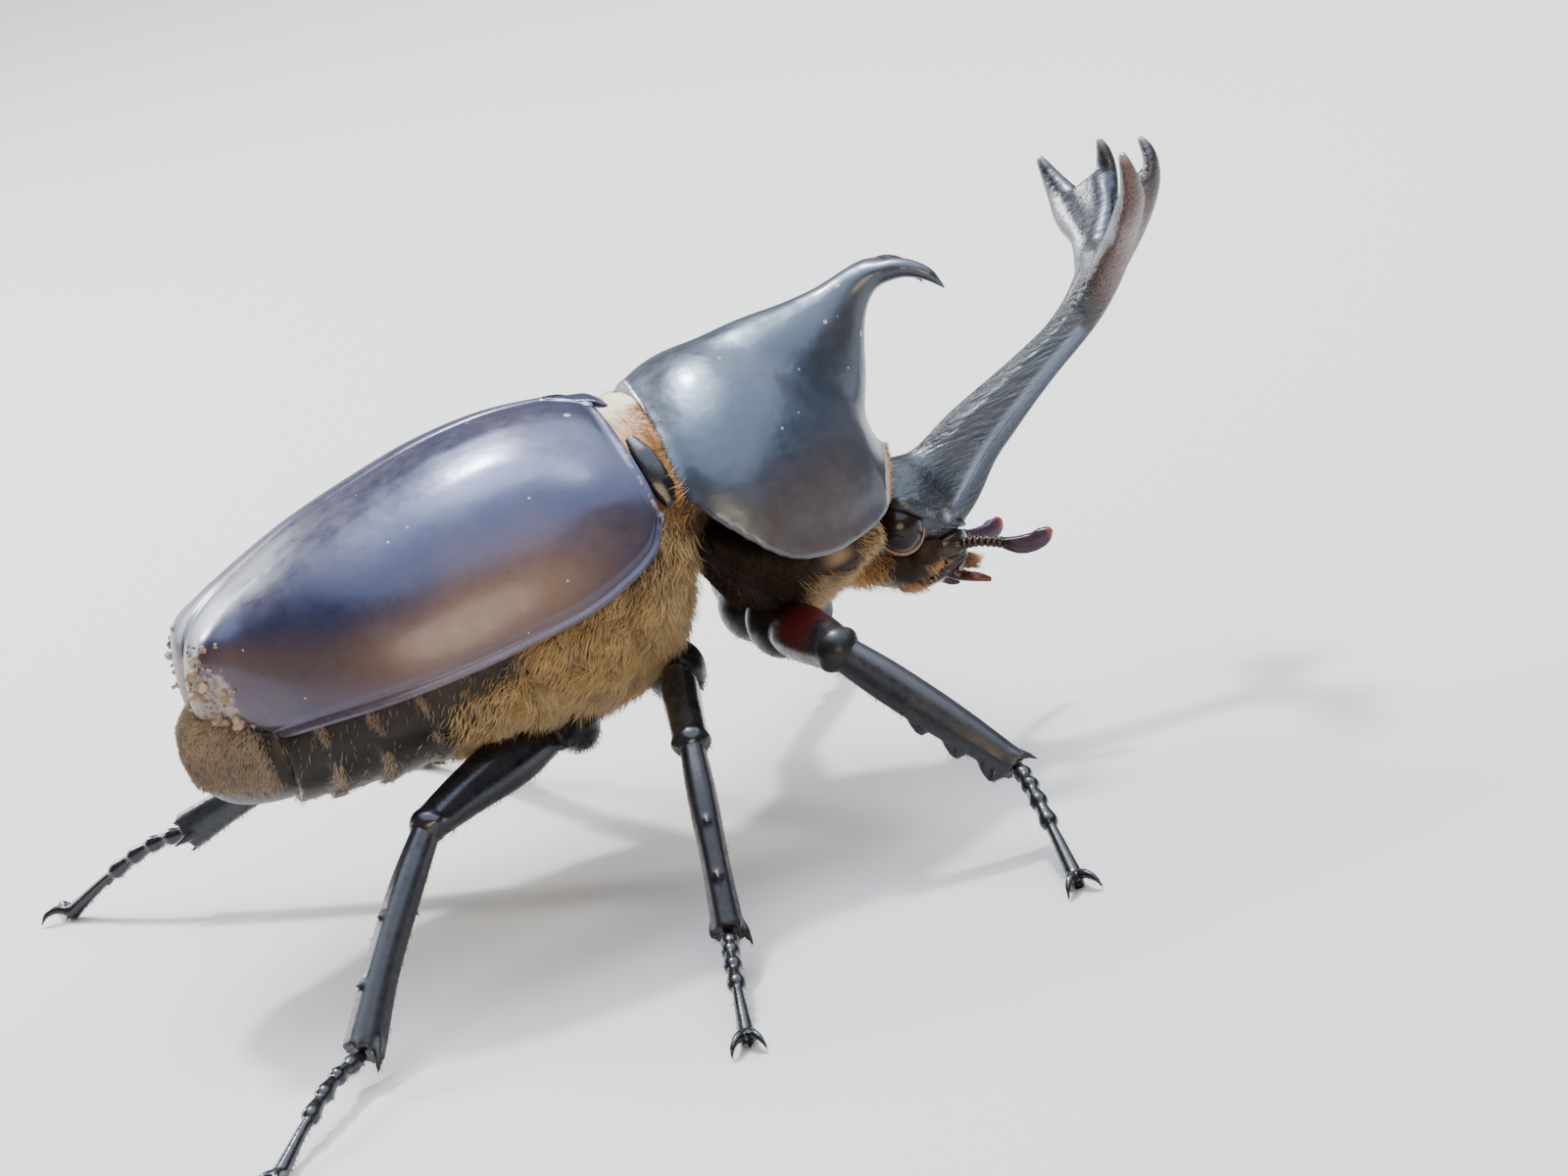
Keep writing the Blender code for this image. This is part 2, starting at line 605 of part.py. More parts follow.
def head_capsule():
    """The head without its horn: capsule, clypeus and the brow over each eye."""
    pieces = [hull_of_rows(HEAD_ROWS, 9, sides=18, square=2.4)]
    rings = []
    for x, half in smooth(CLYPEUS_ROWS, 6):
        height = CLYPEUS_HEIGHT + CLYPEUS_SLOPE * (x - CLYPEUS_ROWS[0][0])
        across, up = oval(12, 3.0)
        rings.append(np.stack([np.full(12, x), across * half, height + up * CLYPEUS_HALF], 1))
    pieces.append(loft(rings))
    for side in (1, -1):
        pieces.append(sweep(mirrored(BROW_PATH, side), BROW_SIZES, UP, rows=7, sides=8))
    return union(pieces)


def mouthparts():
    """The lump of the lower mouthparts with a palp on each side."""
    pieces = [ball(MOUTH_PLACE, MOUTH_SIZE)]
    for side in (1, -1):
        pieces.append(sweep(mirrored(PALP_PATH, side), [0.42, 0.36, 0.25], UP, rows=5, sides=7))
    return union(pieces)


def feeler(side):
    """One antenna: short stalk and a club of closed leaves."""
    return sweep(mirrored(FEELER_PATH, side), FEELER_RADII, UP, rows=13, sides=8)


def leg(pair, letter):
    """The four solids of one leg, by name, on the floor."""
    sizes = PAIRS[pair]
    side = 1 if letter == "l" else -1
    knee, ankle, foot = (np.array(point) for point in LEGS[(pair, letter)])
    hip_ball = on_floor(ball(mirrored(sizes["coxa"], side), sizes["coxa_size"]))
    hip = to_floor(mirrored(sizes["coxa"], side))
    across = unit(np.cross(knee - hip, ankle - knee))

    high, wide = sizes["thigh"]
    bow = unit(np.cross(across, knee - hip))
    bow = bow if bow[2] > 0 else -bow
    path = [hip + t * (knee - hip) + THIGH_BOW * np.sin(np.pi * t) * bow for t in THIGH_STEPS]
    joint = sizes["knee"]
    thick = [(0.75 * wide, 0.6 * high), (wide, high), (0.95 * wide, 0.85 * high),
             (0.85 * joint, 0.9 * joint)]
    thigh = union([sweep(path, thick, across, rows=7, sides=10), ball(knee, joint)])
    thigh = cut(thigh, [grown(hip_ball)])

    shin = shin_with_teeth(sizes, knee, ankle, across, side)
    shin = cut(shin, [ball(knee, joint + GAP)])
    return {"coxa": hip_ball, "femur": thigh, "tibia": shin,
            "tarsus": tarsus(knee, ankle, foot, across)}


def spike(root, direction, length, radius, side):
    """A short pointed tooth that bends a little."""
    direction = unit(direction)
    path = [root - SPIKE_ROOT * direction, root + 0.45 * length * direction,
            root + length * direction + SPIKE_BEND * length * np.asarray(side)]
    return sweep(path, [radius, 0.7 * radius, SPIKE_TIP], side, rows=3, sides=5)


def shin_with_teeth(sizes, knee, ankle, across, side):
    """A tibia with teeth on one edge and a ring of end spurs.

    A broad tibia has its teeth on its rear edge, and a slim one on its outer side.
    """
    thin, middle, wide = sizes["shin"]
    along = unit(ankle - knee)
    length = np.linalg.norm(ankle - knee)
    outer = np.cross(across, along)
    outer = outer if outer @ (UP + np.array([0.0, 0.6 * side, 0.0])) > 0 else -outer
    path = [knee + t * (ankle - knee) + SHIN_BOW * np.sin(np.pi * t) * outer for t in SHIN_STEPS]
    broad, deep = sizes["flat"]
    thick = [(broad * thin, deep * thin), (broad * middle, deep * middle),
             (0.95 * broad * middle, 1.05 * deep * middle), (0.83 * broad * wide, deep * wide)]
    pieces = [sweep(path, thick, across, rows=7, sides=8)]
    rear = -np.sign(across[0]) * across
    edge, reach = (rear, 0.85 * broad) if broad > 1 else (outer, 0.75)
    for part in sizes["teeth"]:
        size = GAP + sizes["tooth"] * (0.7 + 0.4 * part)
        root = knee + part * length * along + reach * middle * edge
        pieces.append(spike(root, edge + TOOTH_LEAN * along, size, TOOTH_RADIUS, along))
    end = ankle - SPUR_SET_BACK * along
    for turn, size in SPURS:
        angle = np.pi * turn
        rim = np.cos(angle) * outer + np.sin(angle) * across
        pieces.append(spike(end + 0.62 * wide * rim, along + SPUR_FLARE * rim, size, SPUR_RADIUS, rim))
    return union(pieces)


def tarsus(knee, ankle, foot, across):
    """The foot segments with a pair of claws, flat where they meet the floor."""
    start = ankle + GAP * unit(ankle - knee)
    lift = FOOT_ARCH * UP
    route = smooth([start, start + 0.3 * (foot - start) + lift,
                    start + 0.65 * (foot - start) + 0.8 * lift, foot], 16)
    pieces = [sweep(route, FOOT_SEGMENT * FOOT_SEGMENTS, across, rows=16, sides=6)]
    forward = unit((foot - ankle) * (1.0, 1.0, 0.0))
    wide = np.cross(UP, forward)
    for turn in (-1, 1):
        out = np.cos(CLAW_SPREAD) * forward + turn * np.sin(CLAW_SPREAD) * wide
        path = [foot + CLAW_ROOT[0] * forward + CLAW_ROOT[1] * turn * wide]
        path += [foot + share * CLAW_LENGTH * out + rise * UP for share, rise in CLAW_STEPS]
        pieces.append(sweep(path, CLAW_RADII, UP, rows=5, sides=6))
    low = foot - (20.0, 20.0, 5.0)
    high = (foot + (20.0, 20.0, 0.0)) * (1.0, 1.0, 0.0)
    return cut(union(pieces), [box(low, high)])


def main():
    for obj in list(bpy.data.objects):
        bpy.data.objects.remove(obj)
    root = bpy.data.objects.new("beetle", None)
    bpy.context.scene.collection.objects.link(root)

    shell = material("glossy_shell", (0.018, 0.013, 0.014), 0.22)
    satin = material("satin_shell", (0.020, 0.018, 0.022), 0.38)
    horn = material("horn", (0.022, 0.016, 0.016), 0.34)
    hairy = material("hairy_body", (0.16, 0.09, 0.035), 0.75)
    brown = material("brown_parts", (0.10, 0.022, 0.012), 0.30)
    limb = material("leg_shell", (0.012, 0.010, 0.012), 0.20)
    eye = material("eye", (0.008, 0.006, 0.006), 0.10)
    cream = material("pale_hair", (0.42, 0.33, 0.20), 0.75)

    legs = {(pair, letter): leg(pair, letter) for pair, letter in LEGS}
    rooms = {pair: [grown(legs[(pair, letter)][part]) for letter in "lr"
                    for part in ("coxa", "femur")] for pair in PAIRS}

    dome = pronotum_dome()
    whole_back_horn = back_horn()
    neck = hull_of_rows(THORAX_ROWS, 11)
    capsule = turned(head_capsule())
    horn_solid = turned(head_horn())

    pronotum = cut(union([dome, whole_back_horn]),
                   [slab(BACK_HORN_CUT, BACK_HORN_WAY, -GAP / 2), grown(neck), grown(capsule)])
    place("pronotum", on_floor(pronotum), satin, root)
    tip = cut(whole_back_horn, [slab(BACK_HORN_CUT, backward(BACK_HORN_WAY), -GAP / 2)])
    place("pronotum_horn", on_floor(tip), horn, root)

    fore = hull_of_rows(PROSTERNUM_ROWS, 7, sides=16)
    fore = cut(fore, [grown(dome), grown(neck), grown(capsule)])
    fore = on_floor(fore)
    place("prosternum", cut(fore, rooms["front"]), hairy, root)

    eyes = {letter: turned(ball(mirrored(EYE_PLACE, side), EYE_RADIUS))
            for letter, side in (("l", 1), ("r", -1))}
    feelers = {letter: turned(feeler(side)) for letter, side in (("l", 1), ("r", -1))}
    mouth = turned(mouthparts())
    sockets = [grown(piece) for piece in (*eyes.values(), *feelers.values(), mouth)]
    head = cut(union([capsule, horn_solid]), [slab(HORN_CUT, HORN_WAY, -GAP / 2)])
    place("head", on_floor(cut(head, sockets)), horn, root)
    upper = cut(horn_solid, [slab(HORN_CUT, backward(HORN_WAY), -GAP / 2)])
    place("head_horn", on_floor(upper), horn, root)
    place("mouthparts", on_floor(mouth), brown, root)
    for letter in "lr":
        place("eye_" + letter, on_floor(eyes[letter]), eye, root)
        place("antenna_" + letter, on_floor(feelers[letter]), brown, root)

    shield = scutellum()
    place("scutellum", on_floor(shield), shell, root)
    wings = {letter: wing_case(side) for letter, side in (("l", 1), ("r", -1))}
    for letter, wing in wings.items():
        place("wing_case_" + letter, on_floor(wing), shell, root)
    under_wings = [grown(wing) for wing in wings.values()]
    thorax = on_floor(cut(neck, [*under_wings, grown(shield)]))
    place("thorax", cut(thorax, rooms["mid"] + rooms["hind"]), hairy, root)
    abdomen = on_floor(cut(belly(), under_wings))
    place("abdomen", cut(abdomen, rooms["hind"]), hairy, root)
    tail = cut(hull_of_rows(TAIL_ROWS, 7, sides=16), under_wings)
    place("pygidium", on_floor(tail), cream, root)

    for (pair, letter), solids in legs.items():
        for part, solid in solids.items():
            place(f"{pair}_{part}_{letter}", solid, limb, root)


main()
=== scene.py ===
"""Fine shells, skin, hair, materials, floor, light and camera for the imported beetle.

Lengths are in millimetres. The body has a frame of its own: x runs forward, y to its left
and z up. to_floor lifts and tilts that frame onto the legs, and to_world gives metres.
"""
import json

import bpy
import numpy as np
from mathutils import Matrix

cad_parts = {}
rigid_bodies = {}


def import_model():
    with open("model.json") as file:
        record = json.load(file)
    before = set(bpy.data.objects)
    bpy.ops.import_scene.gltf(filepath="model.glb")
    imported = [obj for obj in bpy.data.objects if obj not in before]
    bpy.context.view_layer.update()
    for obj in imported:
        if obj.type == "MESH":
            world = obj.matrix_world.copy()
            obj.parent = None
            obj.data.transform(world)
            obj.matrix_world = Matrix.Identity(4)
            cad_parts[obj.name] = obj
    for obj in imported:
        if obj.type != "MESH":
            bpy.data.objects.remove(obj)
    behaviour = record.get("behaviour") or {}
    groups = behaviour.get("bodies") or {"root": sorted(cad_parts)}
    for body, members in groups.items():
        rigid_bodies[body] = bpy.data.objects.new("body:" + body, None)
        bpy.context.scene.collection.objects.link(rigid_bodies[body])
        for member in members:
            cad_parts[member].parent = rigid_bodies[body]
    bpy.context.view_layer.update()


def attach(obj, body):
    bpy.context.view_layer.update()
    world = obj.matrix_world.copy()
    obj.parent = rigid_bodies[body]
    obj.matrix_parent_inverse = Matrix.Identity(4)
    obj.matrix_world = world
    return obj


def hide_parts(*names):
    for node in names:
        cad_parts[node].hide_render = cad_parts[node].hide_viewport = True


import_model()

MM = 0.001
UP = np.array([0.0, 0.0, 1.0])
LEFT = np.array([0.0, 1.0, 0.0])
SIDES = (("l", 1), ("r", -1))

PITCH = np.radians(5.0)
ROLL = np.radians(4.0)
BODY_HEIGHT = 19.5
MIDDLE = np.array([-4.9, -0.8, 0.0])

# Wing cases: middle line x, z; side edge x, y, z; x of the core; roundness.
WING_ROWS = [
    (-3.0, 10.2, -3.0, 10.9, 3.3, -3.0, 1.15),
    (-5.0, 11.0, -4.8, 11.8, 1.4, -5.0, 1.05),
    (-9.0, 11.8, -9.0, 12.6, 0.2, -9.0, 0.95),
    (-13.5, 11.9, -13.5, 13.0, 0.0, -13.5, 0.92),
    (-18.0, 11.4, -18.0, 12.9, 0.0, -18.0, 0.92),
    (-22.5, 10.6, -22.5, 12.0, 0.1, -22.3, 0.88),
    (-26.6, 9.4, -26.4, 9.9, 0.2, -25.8, 0.78),
    (-29.3, 8.4, -28.6, 7.8, 0.1, -27.4, 0.72),
    (-31.1, 7.0, -30.1, 5.8, 0.0, -28.4, 0.70),
    (-31.9, 4.8, -31.1, 4.0, 0.3, -29.2, 0.78),
    (-32.2, 2.2, -31.8, 2.4, 0.9, -29.8, 0.90),
]
WING_WALL = 0.6
WING_KNOBS = [
    ((-31.0, 6.0, 6.4), 0.95, 1.9),
    ((-6.0, 10.2, 6.0), 0.40, 2.2),
]
WING_RIBS = (4.4, 7.6)
SHIELD_FRONT, SHIELD_TIP, SHIELD_HALF = -1.1, -5.4, 3.2
SHIELD_HEIGHT, SHIELD_SLOPE = 9.4, 0.33

# Bodies along x: x, half width, top, bottom, height of the widest line.
THORAX_ROWS = [
    (0.9, 6.2, 6.8, 0.2, 3.6),
    (-1.0, 7.2, 8.0, -1.6, 3.0),
    (-2.6, 8.4, 8.5, -3.6, 2.2),
    (-4.6, 10.0, 8.7, -6.0, 1.0),
    (-8.0, 11.2, 9.2, -7.2, 0.0),
    (-11.5, 11.6, 9.7, -7.3, -0.4),
    (-13.9, 11.6, 9.8, -7.0, -0.6),
]
ABDOMEN_ROWS = [
    (-14.2, 11.5, 9.7, -6.6, -0.8),
    (-18.0, 11.4, 9.2, -6.2, -1.0),
    (-22.5, 10.4, 8.2, -5.9, -1.2),
    (-26.5, 8.8, 6.6, -5.4, -1.4),
    (-29.3, 7.4, 5.0, -4.8, -1.5),
]
TAIL_ROWS = [
    (-28.6, 7.1, 4.6, -4.5, -1.5),
    (-29.6, 7.2, 4.8, -4.6, -1.5),
    (-31.4, 6.2, 3.8, -4.3, -1.2),
    (-33.0, 4.6, 2.6, -3.6, -0.8),
    (-34.0, 2.8, 1.6, -2.5, -0.6),
    (-34.4, 1.0, 0.4, -1.4, -0.5),
]
PROSTERNUM_ROWS = [
    (-0.3, 6.6, 0.8, -2.4, -0.6),
    (1.4, 8.2, 0.0, -6.6, -2.4),
    (4.0, 8.4, -0.8, -7.4, -3.2),
    (7.2, 7.4, -1.8, -6.6, -3.8),
    (9.8, 6.0, -2.4, -5.6, -4.0),
]
BELLY_PLATES = 5
PLATE_STEP = 0.35              # drop from one belly plate to the next

# Pronotum: as the wing cases, and then the depth of its lower side.
PRONOTUM_ROWS = [
    (-0.2, 9.8, -1.2, 9.4, 4.0, -0.9, 1.30, 2.0),
    (0.9, 10.3, 0.3, 10.9, 1.4, 0.6, 1.12, 2.2),
    (3.0, 10.6, 3.0, 11.4, -1.9, 3.0, 1.02, 2.4),
    (5.8, 10.2, 5.6, 10.3, -3.0, 5.6, 0.98, 2.0),
    (8.4, 8.7, 7.5, 9.1, -3.2, 7.6, 0.98, 1.6),
    (10.7, 6.0, 9.1, 7.9, -3.2, 9.4, 0.98, 1.3),
    (12.5, 2.8, 10.3, 6.9, -3.0, 10.9, 0.98, 1.0),
    (13.3, -0.6, 10.9, 6.1, -2.8, 12.2, 0.98, 0.8),
]
PRONOTUM_BEAD = 0.3
# The pronotum's horn: x, half width, top, bottom, height of the widest line.
BACK_HORN_ROWS = [
    (4.6, 4.8, 10.5, 2.0, 5.5),
    (7.6, 4.9, 10.6, 1.4, 4.6),
    (10.4, 4.0, 10.4, 1.0, 4.6),
    (12.4, 2.9, 10.4, 1.2, 5.2),
    (13.8, 2.1, 10.5, 3.4, 7.0),
    (14.8, 1.7, 10.7, 6.0, 8.6),
    (15.7, 1.6, 10.75, 7.8, 9.5),
    (16.8, 1.75, 10.7, 8.8, 9.8),
    (17.8, 2.0, 10.4, 8.9, 9.7),
]
BACK_TINE = [(16.9, 0.8, 9.7), (18.4, 1.6, 9.5), (19.6, 2.3, 8.6), (20.3, 2.6, 7.2)]
BACK_TINE_SIZES = [(0.9, 0.8), (0.8, 0.68), (0.6, 0.5), (0.2, 0.16)]

HEAD_ROWS = [
    (7.4, 3.0, -2.8, -6.2, -4.6),
    (9.2, 3.9, -2.0, -7.2, -5.0),
    (11.4, 4.25, -1.5, -7.4, -5.2),
    (13.2, 4.15, -1.3, -7.5, -5.3),
    (14.6, 3.4, -1.9, -7.6, -5.6),
    (15.5, 2.2, -3.2, -7.4, -5.9),
]
THROAT_ROWS = [
    (7.4, 2.7, -5.2, -7.1, -6.0),
    (9.2, 3.2, -5.4, -8.4, -6.8),
    (10.8, 3.1, -5.6, -9.3, -7.4),
    (12.2, 2.9, -5.8, -9.6, -7.8),
    (13.4, 2.5, -6.2, -9.5, -8.0),
    (14.4, 1.9, -6.6, -9.1, -8.0),
]
WAIST_ROWS = [
    (0.6, 8.0, 9.2, 1.5, 4.0),
    (-0.8, 8.4, 9.3, 0.8, 4.0),
    (-1.9, 8.7, 9.5, 0.2, 3.8),
    (-2.9, 9.1, 9.8, -0.4, 3.5),
    (-3.8, 9.3, 10.2, -0.6, 3.2),
]
WAIST_PLATE = [(-2.5, 7.3, 8.0), (-2.3, 8.5, 6.8), (-2.2, 9.3, 5.2), (-2.1, 9.8, 3.6)]
# Front plate of the head: x, half width.
CLYPEUS_ROWS = [(12.6, 4.3), (13.6, 4.1), (14.6, 3.4), (15.4, 2.75), (15.9, 2.2)]
CLYPEUS_HEIGHT, CLYPEUS_SLOPE, CLYPEUS_HALF = -5.2, -0.57, 0.28
EYE_PLACE, EYE_RADII = (11.4, 3.85, -5.2), (1.5, 1.5, 1.62)
BROW_PATH = [(10.9, 4.2, -3.5), (12.0, 4.9, -3.8), (12.9, 4.7, -4.6), (13.4, 4.2, -5.2)]
BROW_SIZES = [(0.42, 0.34), (0.55, 0.4), (0.55, 0.4), (0.45, 0.3)]
# Places of painted highlight spots above and in front of each eye.
HIGHLIGHT_SPOTS = [(12.3, 4.5, -3.3), (14.6, 3.2, -5.9)]
PALP_PATH = [(14.2, 1.6, -10.0), (15.0, 2.2, -10.3), (15.9, 2.3, -10.9)]
STALK_PATH = [(14.8, 2.5, -8.0), (15.6, 3.1, -8.1), (16.4, 3.9, -8.4), (17.1, 4.5, -8.8)]
CLUB_PATH = [(17.0, 4.5, -8.75), (17.8, 4.95, -9.2), (18.6, 5.35, -9.35), (19.3, 5.7, -9.2),
             (19.8, 6.0, -8.9)]
CLUB_SIZES = [(0.34, 0.15), (0.56, 0.19), (0.60, 0.2), (0.56, 0.18), (0.24, 0.1)]
JAW_PATH = [(13.2, 2.3, -7.7), (14.4, 2.2, -7.8), (15.2, 1.5, -7.9), (15.7, 0.7, -8.1)]
JAW_SIZES = [(0.55, 0.5), (0.8, 0.62), (0.72, 0.5), (0.25, 0.2)]
# The whole head is rolled and turned a little about this point.
HEAD_PIVOT, HEAD_ROLL, HEAD_YAW = (14.0, 0.0, -5.0), np.radians(-3.75), np.radians(0.93)

# Head horn: x, z, half depth, half width.
HORN_ROWS = [
    (12.0, -5.7, 2.3, 3.3),
    (13.6, -5.0, 2.55, 2.9),
    (15.7, -4.1, 2.6, 2.15),
    (18.4, -2.6, 2.1, 1.55),
    (20.6, -1.65, 1.8, 1.35),
    (22.8, -0.75, 1.5, 1.25),
    (25.0, 0.15, 1.28, 1.2),
    (26.8, 0.9, 1.2, 1.2),
    (28.6, 1.9, 1.28, 1.3),
    (30.0, 3.0, 1.35, 1.6),
    (31.3, 4.3, 1.3, 2.2),
    (31.9, 5.0, 0.8, 2.5),
]
# Half of the horn's cross-section, from the back over the side ridge to the front.
HORN_SECTION = [(0.0, 1.0), (0.42, 0.93), (0.72, 0.62), (0.86, 0.15), (0.9, -0.15),
                (1.02, -0.36), (0.88, -0.48), (0.84, -0.72), (0.68, -1.0), (0.3, -1.05), (0.0, -1.0)]
# Side ridges of the horn: x, then shares of its half width and half depth.
RIDGE_ROWS = [(15.2, 1.02, -0.5), (18.4, 1.02, -0.42), (22.8, 0.98, -0.34), (27.5, 0.9, -0.3)]
# Branches of the fork, each with its two tines: place, then half width and half depth.
OUTER_BRANCH = [
    (28.8, 0.2, 1.8, 1.1, 1.15), (30.3, 0.9, 3.3, 1.1, 1.15), (31.5, 2.6, 4.8, 1.1, 1.0),
    (31.95, 4.5, 6.0, 1.25, 0.95), (32.2, 6.1, 6.95, 1.45, 0.9), (32.4, 7.6, 8.0, 1.2, 0.78),
    (32.45, 8.62, 9.4, 0.74, 0.58), (32.4, 9.21, 10.85, 0.26, 0.27),
]
INNER_BRANCH = [
    (29.4, 0.2, 2.3, 1.1, 1.15), (31.2, 1.3, 3.9, 1.2, 1.05), (32.4, 2.6, 5.2, 1.2, 1.0),
    (33.6, 4.0, 6.6, 1.15, 0.85), (34.6, 4.75, 7.9, 1.0, 0.65), (35.15, 4.9, 9.0, 0.78, 0.5),
    (35.3, 4.7, 9.95, 0.52, 0.4), (35.2, 4.4, 10.8, 0.22, 0.2),
]
WEB_PATH = [(29.6, 0.5, 2.7), (31.4, 2.1, 4.7), (32.7, 4.1, 6.5), (33.65, 5.9, 8.4)]
WEB_SIZES = [(0.9, 0.7), (1.5, 0.85), (1.95, 0.62), (1.7, 0.45)]
FORK_SIDE = (-0.51, 0.86, 0.0)

# Legs: coxa's place and half sizes, thigh's half height and width, knee's radius, shin's
# half sizes and flatness, places of its teeth as shares of its length, and their size.
PAIRS = {
    "front": dict(coxa=(2.2, 3.7, -7.2), coxa_size=(2.0, 2.7, 2.3), thigh=(1.5, 1.75), knee=1.4,
                  shin=(1.0, 1.15, 1.0), flat=(1.1, 0.85), teeth=(0.50, 0.70, 0.90), tooth=0.45),
    "mid": dict(coxa=(-5.0, 4.2, -7.0), coxa_size=(1.9, 2.6, 2.0), thigh=(1.65, 1.2), knee=1.15,
                shin=(0.85, 1.0, 1.3), flat=(0.9, 1.0), teeth=(0.45, 0.74), tooth=0.8),
    "hind": dict(coxa=(-12.2, 4.9, -7.0), coxa_size=(1.6, 3.4, 1.9), thigh=(1.75, 1.2), knee=1.2,
                 shin=(0.88, 1.05, 1.35), flat=(0.9, 1.0), teeth=(0.42, 0.72), tooth=0.9),
}
# Knee, ankle and foot on the floor.
LEGS = {
    ("front", "r"): ((3.4, -15.9, 13.3), (10.2, -23.1, 4.9), (9.3, -33.2, 0.5)),
    ("front", "l"): ((4.9, 15.0, 12.7), (11.2, 22.1, 4.8), (12.6, 32.2, 0.5)),
    ("mid", "r"): ((-7.0, -17.0, 11.4), (-10.0, -26.9, 2.7), (-12.8, -38.3, 0.5)),
    ("mid", "l"): ((-8.0, 15.9, 11.6), (-11.5, 25.6, 3.0), (-15.5, 36.6, 0.5)),
    ("hind", "r"): ((-23.0, -13.0, 11.0), (-31.9, -22.0, 2.1), (-39.7, -32.3, 0.5)),
    ("hind", "l"): ((-22.0, 13.4, 10.2), (-33.5, 23.0, 5.5), (-42.0, 31.5, 0.5)),
}
CLAW_LENGTH = 2.3
CLAW_SPREAD = np.radians(28.0)
TARSUS_JOINTS = (0.0, 0.17, 0.32, 0.47, 0.62, 1.0)
# Spurs round the end of a tibia: turn in half circles, and length.
SPURS = ((0.2, 1.0), (0.6, 1.5), (1.0, 1.4), (1.5, 0.8))

# Cell sizes of the melted meshes: finer for small parts, coarser where hair covers them.
CELL = {"shield": 0.12, "pronotum": 0.19, "head": 0.145, "throat": 0.16, "waist": 0.22,
        "waist_plate": 0.1, "crumbs": 0.07, "antenna": 0.07, "mouth": 0.1, "eye_rim": 0.06,
        "trunk": 0.28, "belly": 0.22, "coxa": 0.15, "femur": 0.125, "tibia": 0.12,
        "tarsus": 0.095}
HAIRS = {"thorax": 16200, "chest": 8500, "chest_shade_down": 5000, "flank": 13000, "belly": 5500,
         "tail": 17500, "throat": 2000, "waist": 2600, "brush": 260, "rear_hem": 2600,
         "front_hem": 900, "coxa": 300, "femur": 140, "tibia": 200, "tarsus": 240}
DIRT_LUMPS = {"l": 35, "r": 70}
# Tufts under the head: place and width. The brush is the line of hairs at the mouth.
THROAT_TUFTS = [((8.7, 3.1, -6.3), 1.1), ((7.7, 2.3, -7.2), 0.8), ((11.2, 2.0, -9.2), 0.75),
                ((12.8, 3.4, -8.2), 0.4)]
MOUTH_BRUSH = [(15.0, 0.5, -9.35), (15.2, 1.0, -9.4), (15.1, 1.5, -9.3)]
TUFT_LOTS = 100003             # random leanings that the tufts draw from
TUFT_STEPS = (73856093, 19349663, 83492791)  # spread neighbouring tufts over the lots
HAIR_PATCH = 0.0013            # half the width of a hair's patch in the unwrap
HAIR_POINTS = 7                # two rings of three and a tip
ROOT_DEPTH = 0.12              # of a hair below its skin
LOWEST_HAIR = 0.03             # over the floor
UNWRAP_EDGE = 0.01             # free margin of the unwrap

PIXELS_PER_MM = 16.3           # of the photo, at the body's middle
PHOTO_WIDTH = 1600.0
SENSOR = 36.0


# Shapes.

def unit(vectors):
    """Vectors with length 1."""
    vectors = np.asarray(vectors, float)
    return vectors / (np.linalg.norm(vectors, axis=-1, keepdims=True) + 1e-12)


def smooth_at(rows, place):
    """Values on a smooth curve through the rows, at fractional row numbers."""
    rows = np.asarray(rows, float)
    last = len(rows) - 1
    slope = np.gradient(rows, axis=0)
    start = np.minimum(np.asarray(place).astype(int), last - 1)
    t = (place - start)[:, None]
    return ((2 * t**3 - 3 * t**2 + 1) * rows[start] + (t**3 - 2 * t**2 + t) * slope[start]
            + (3 * t**2 - 2 * t**3) * rows[start + 1] + (t**3 - t**2) * slope[start + 1])


def smooth(rows, count):
    """The same at even steps."""
    return smooth_at(rows, np.linspace(0.0, len(rows) - 1, count))


def mirrored(points, side):
    """Points of the left side, or the same points on the right for side -1."""
    return np.asarray(points, float) * (1.0, side, 1.0)


TILT = np.array(Matrix.Rotation(-PITCH, 3, "Y") @ Matrix.Rotation(-ROLL, 3, "X"))


def to_floor(points):
    """Points of the body's frame, on the floor from below the body's origin."""
    return np.asarray(points, float) @ TILT.T + BODY_HEIGHT * UP


def to_world(points):
    """Points on the floor, in metres in the part's frame."""
    return (np.asarray(points, float) - MIDDLE) * MM


HEAD_TURN = np.array(Matrix.Rotation(HEAD_YAW, 3, "Z") @ Matrix.Rotation(HEAD_ROLL, 3, "X"))


def with_head(points):
    """Points of the head, rolled and turned with it."""
    return (np.asarray(points, float) - HEAD_PIVOT) @ HEAD_TURN.T + HEAD_PIVOT


def turned(solid):
    """A mesh of the head, rolled and turned with it."""
    return with_head(solid[0]), solid[1]


def grid_faces(rows, columns, wrap):
    """Quads of a grid of points, closed round its columns if wrap is true."""
    r, c = np.meshgrid(np.arange(rows - 1), np.arange(columns - (not wrap)), indexing="ij")
    n = (c + 1) % columns
    quads = np.stack([r * columns + n, r * columns + c, (r + 1) * columns + c,
                      (r + 1) * columns + n], -1)
    return quads.reshape(-1, 4)


def loft(rings):
    """A closed mesh through rings of equal count, with flat ends."""
    rings = np.asarray(rings, float)
    rows, count = rings.shape[:2]
    faces = grid_faces(rows, count, True).tolist()
    faces += [list(range(count)), list(range(rows * count - 1, (rows - 1) * count - 1, -1))]
    return rings.reshape(-1, 3), faces


def oval(sides, square=2.0):
    """Corners of an oval of half sizes 1, which a larger square value makes boxier."""
    angle = 2 * np.pi * (np.arange(sides) + 0.5) / sides
    return np.stack([np.sign(part) * np.abs(part) ** (2 / square)
                     for part in (np.cos(angle), np.sin(angle))], 1)


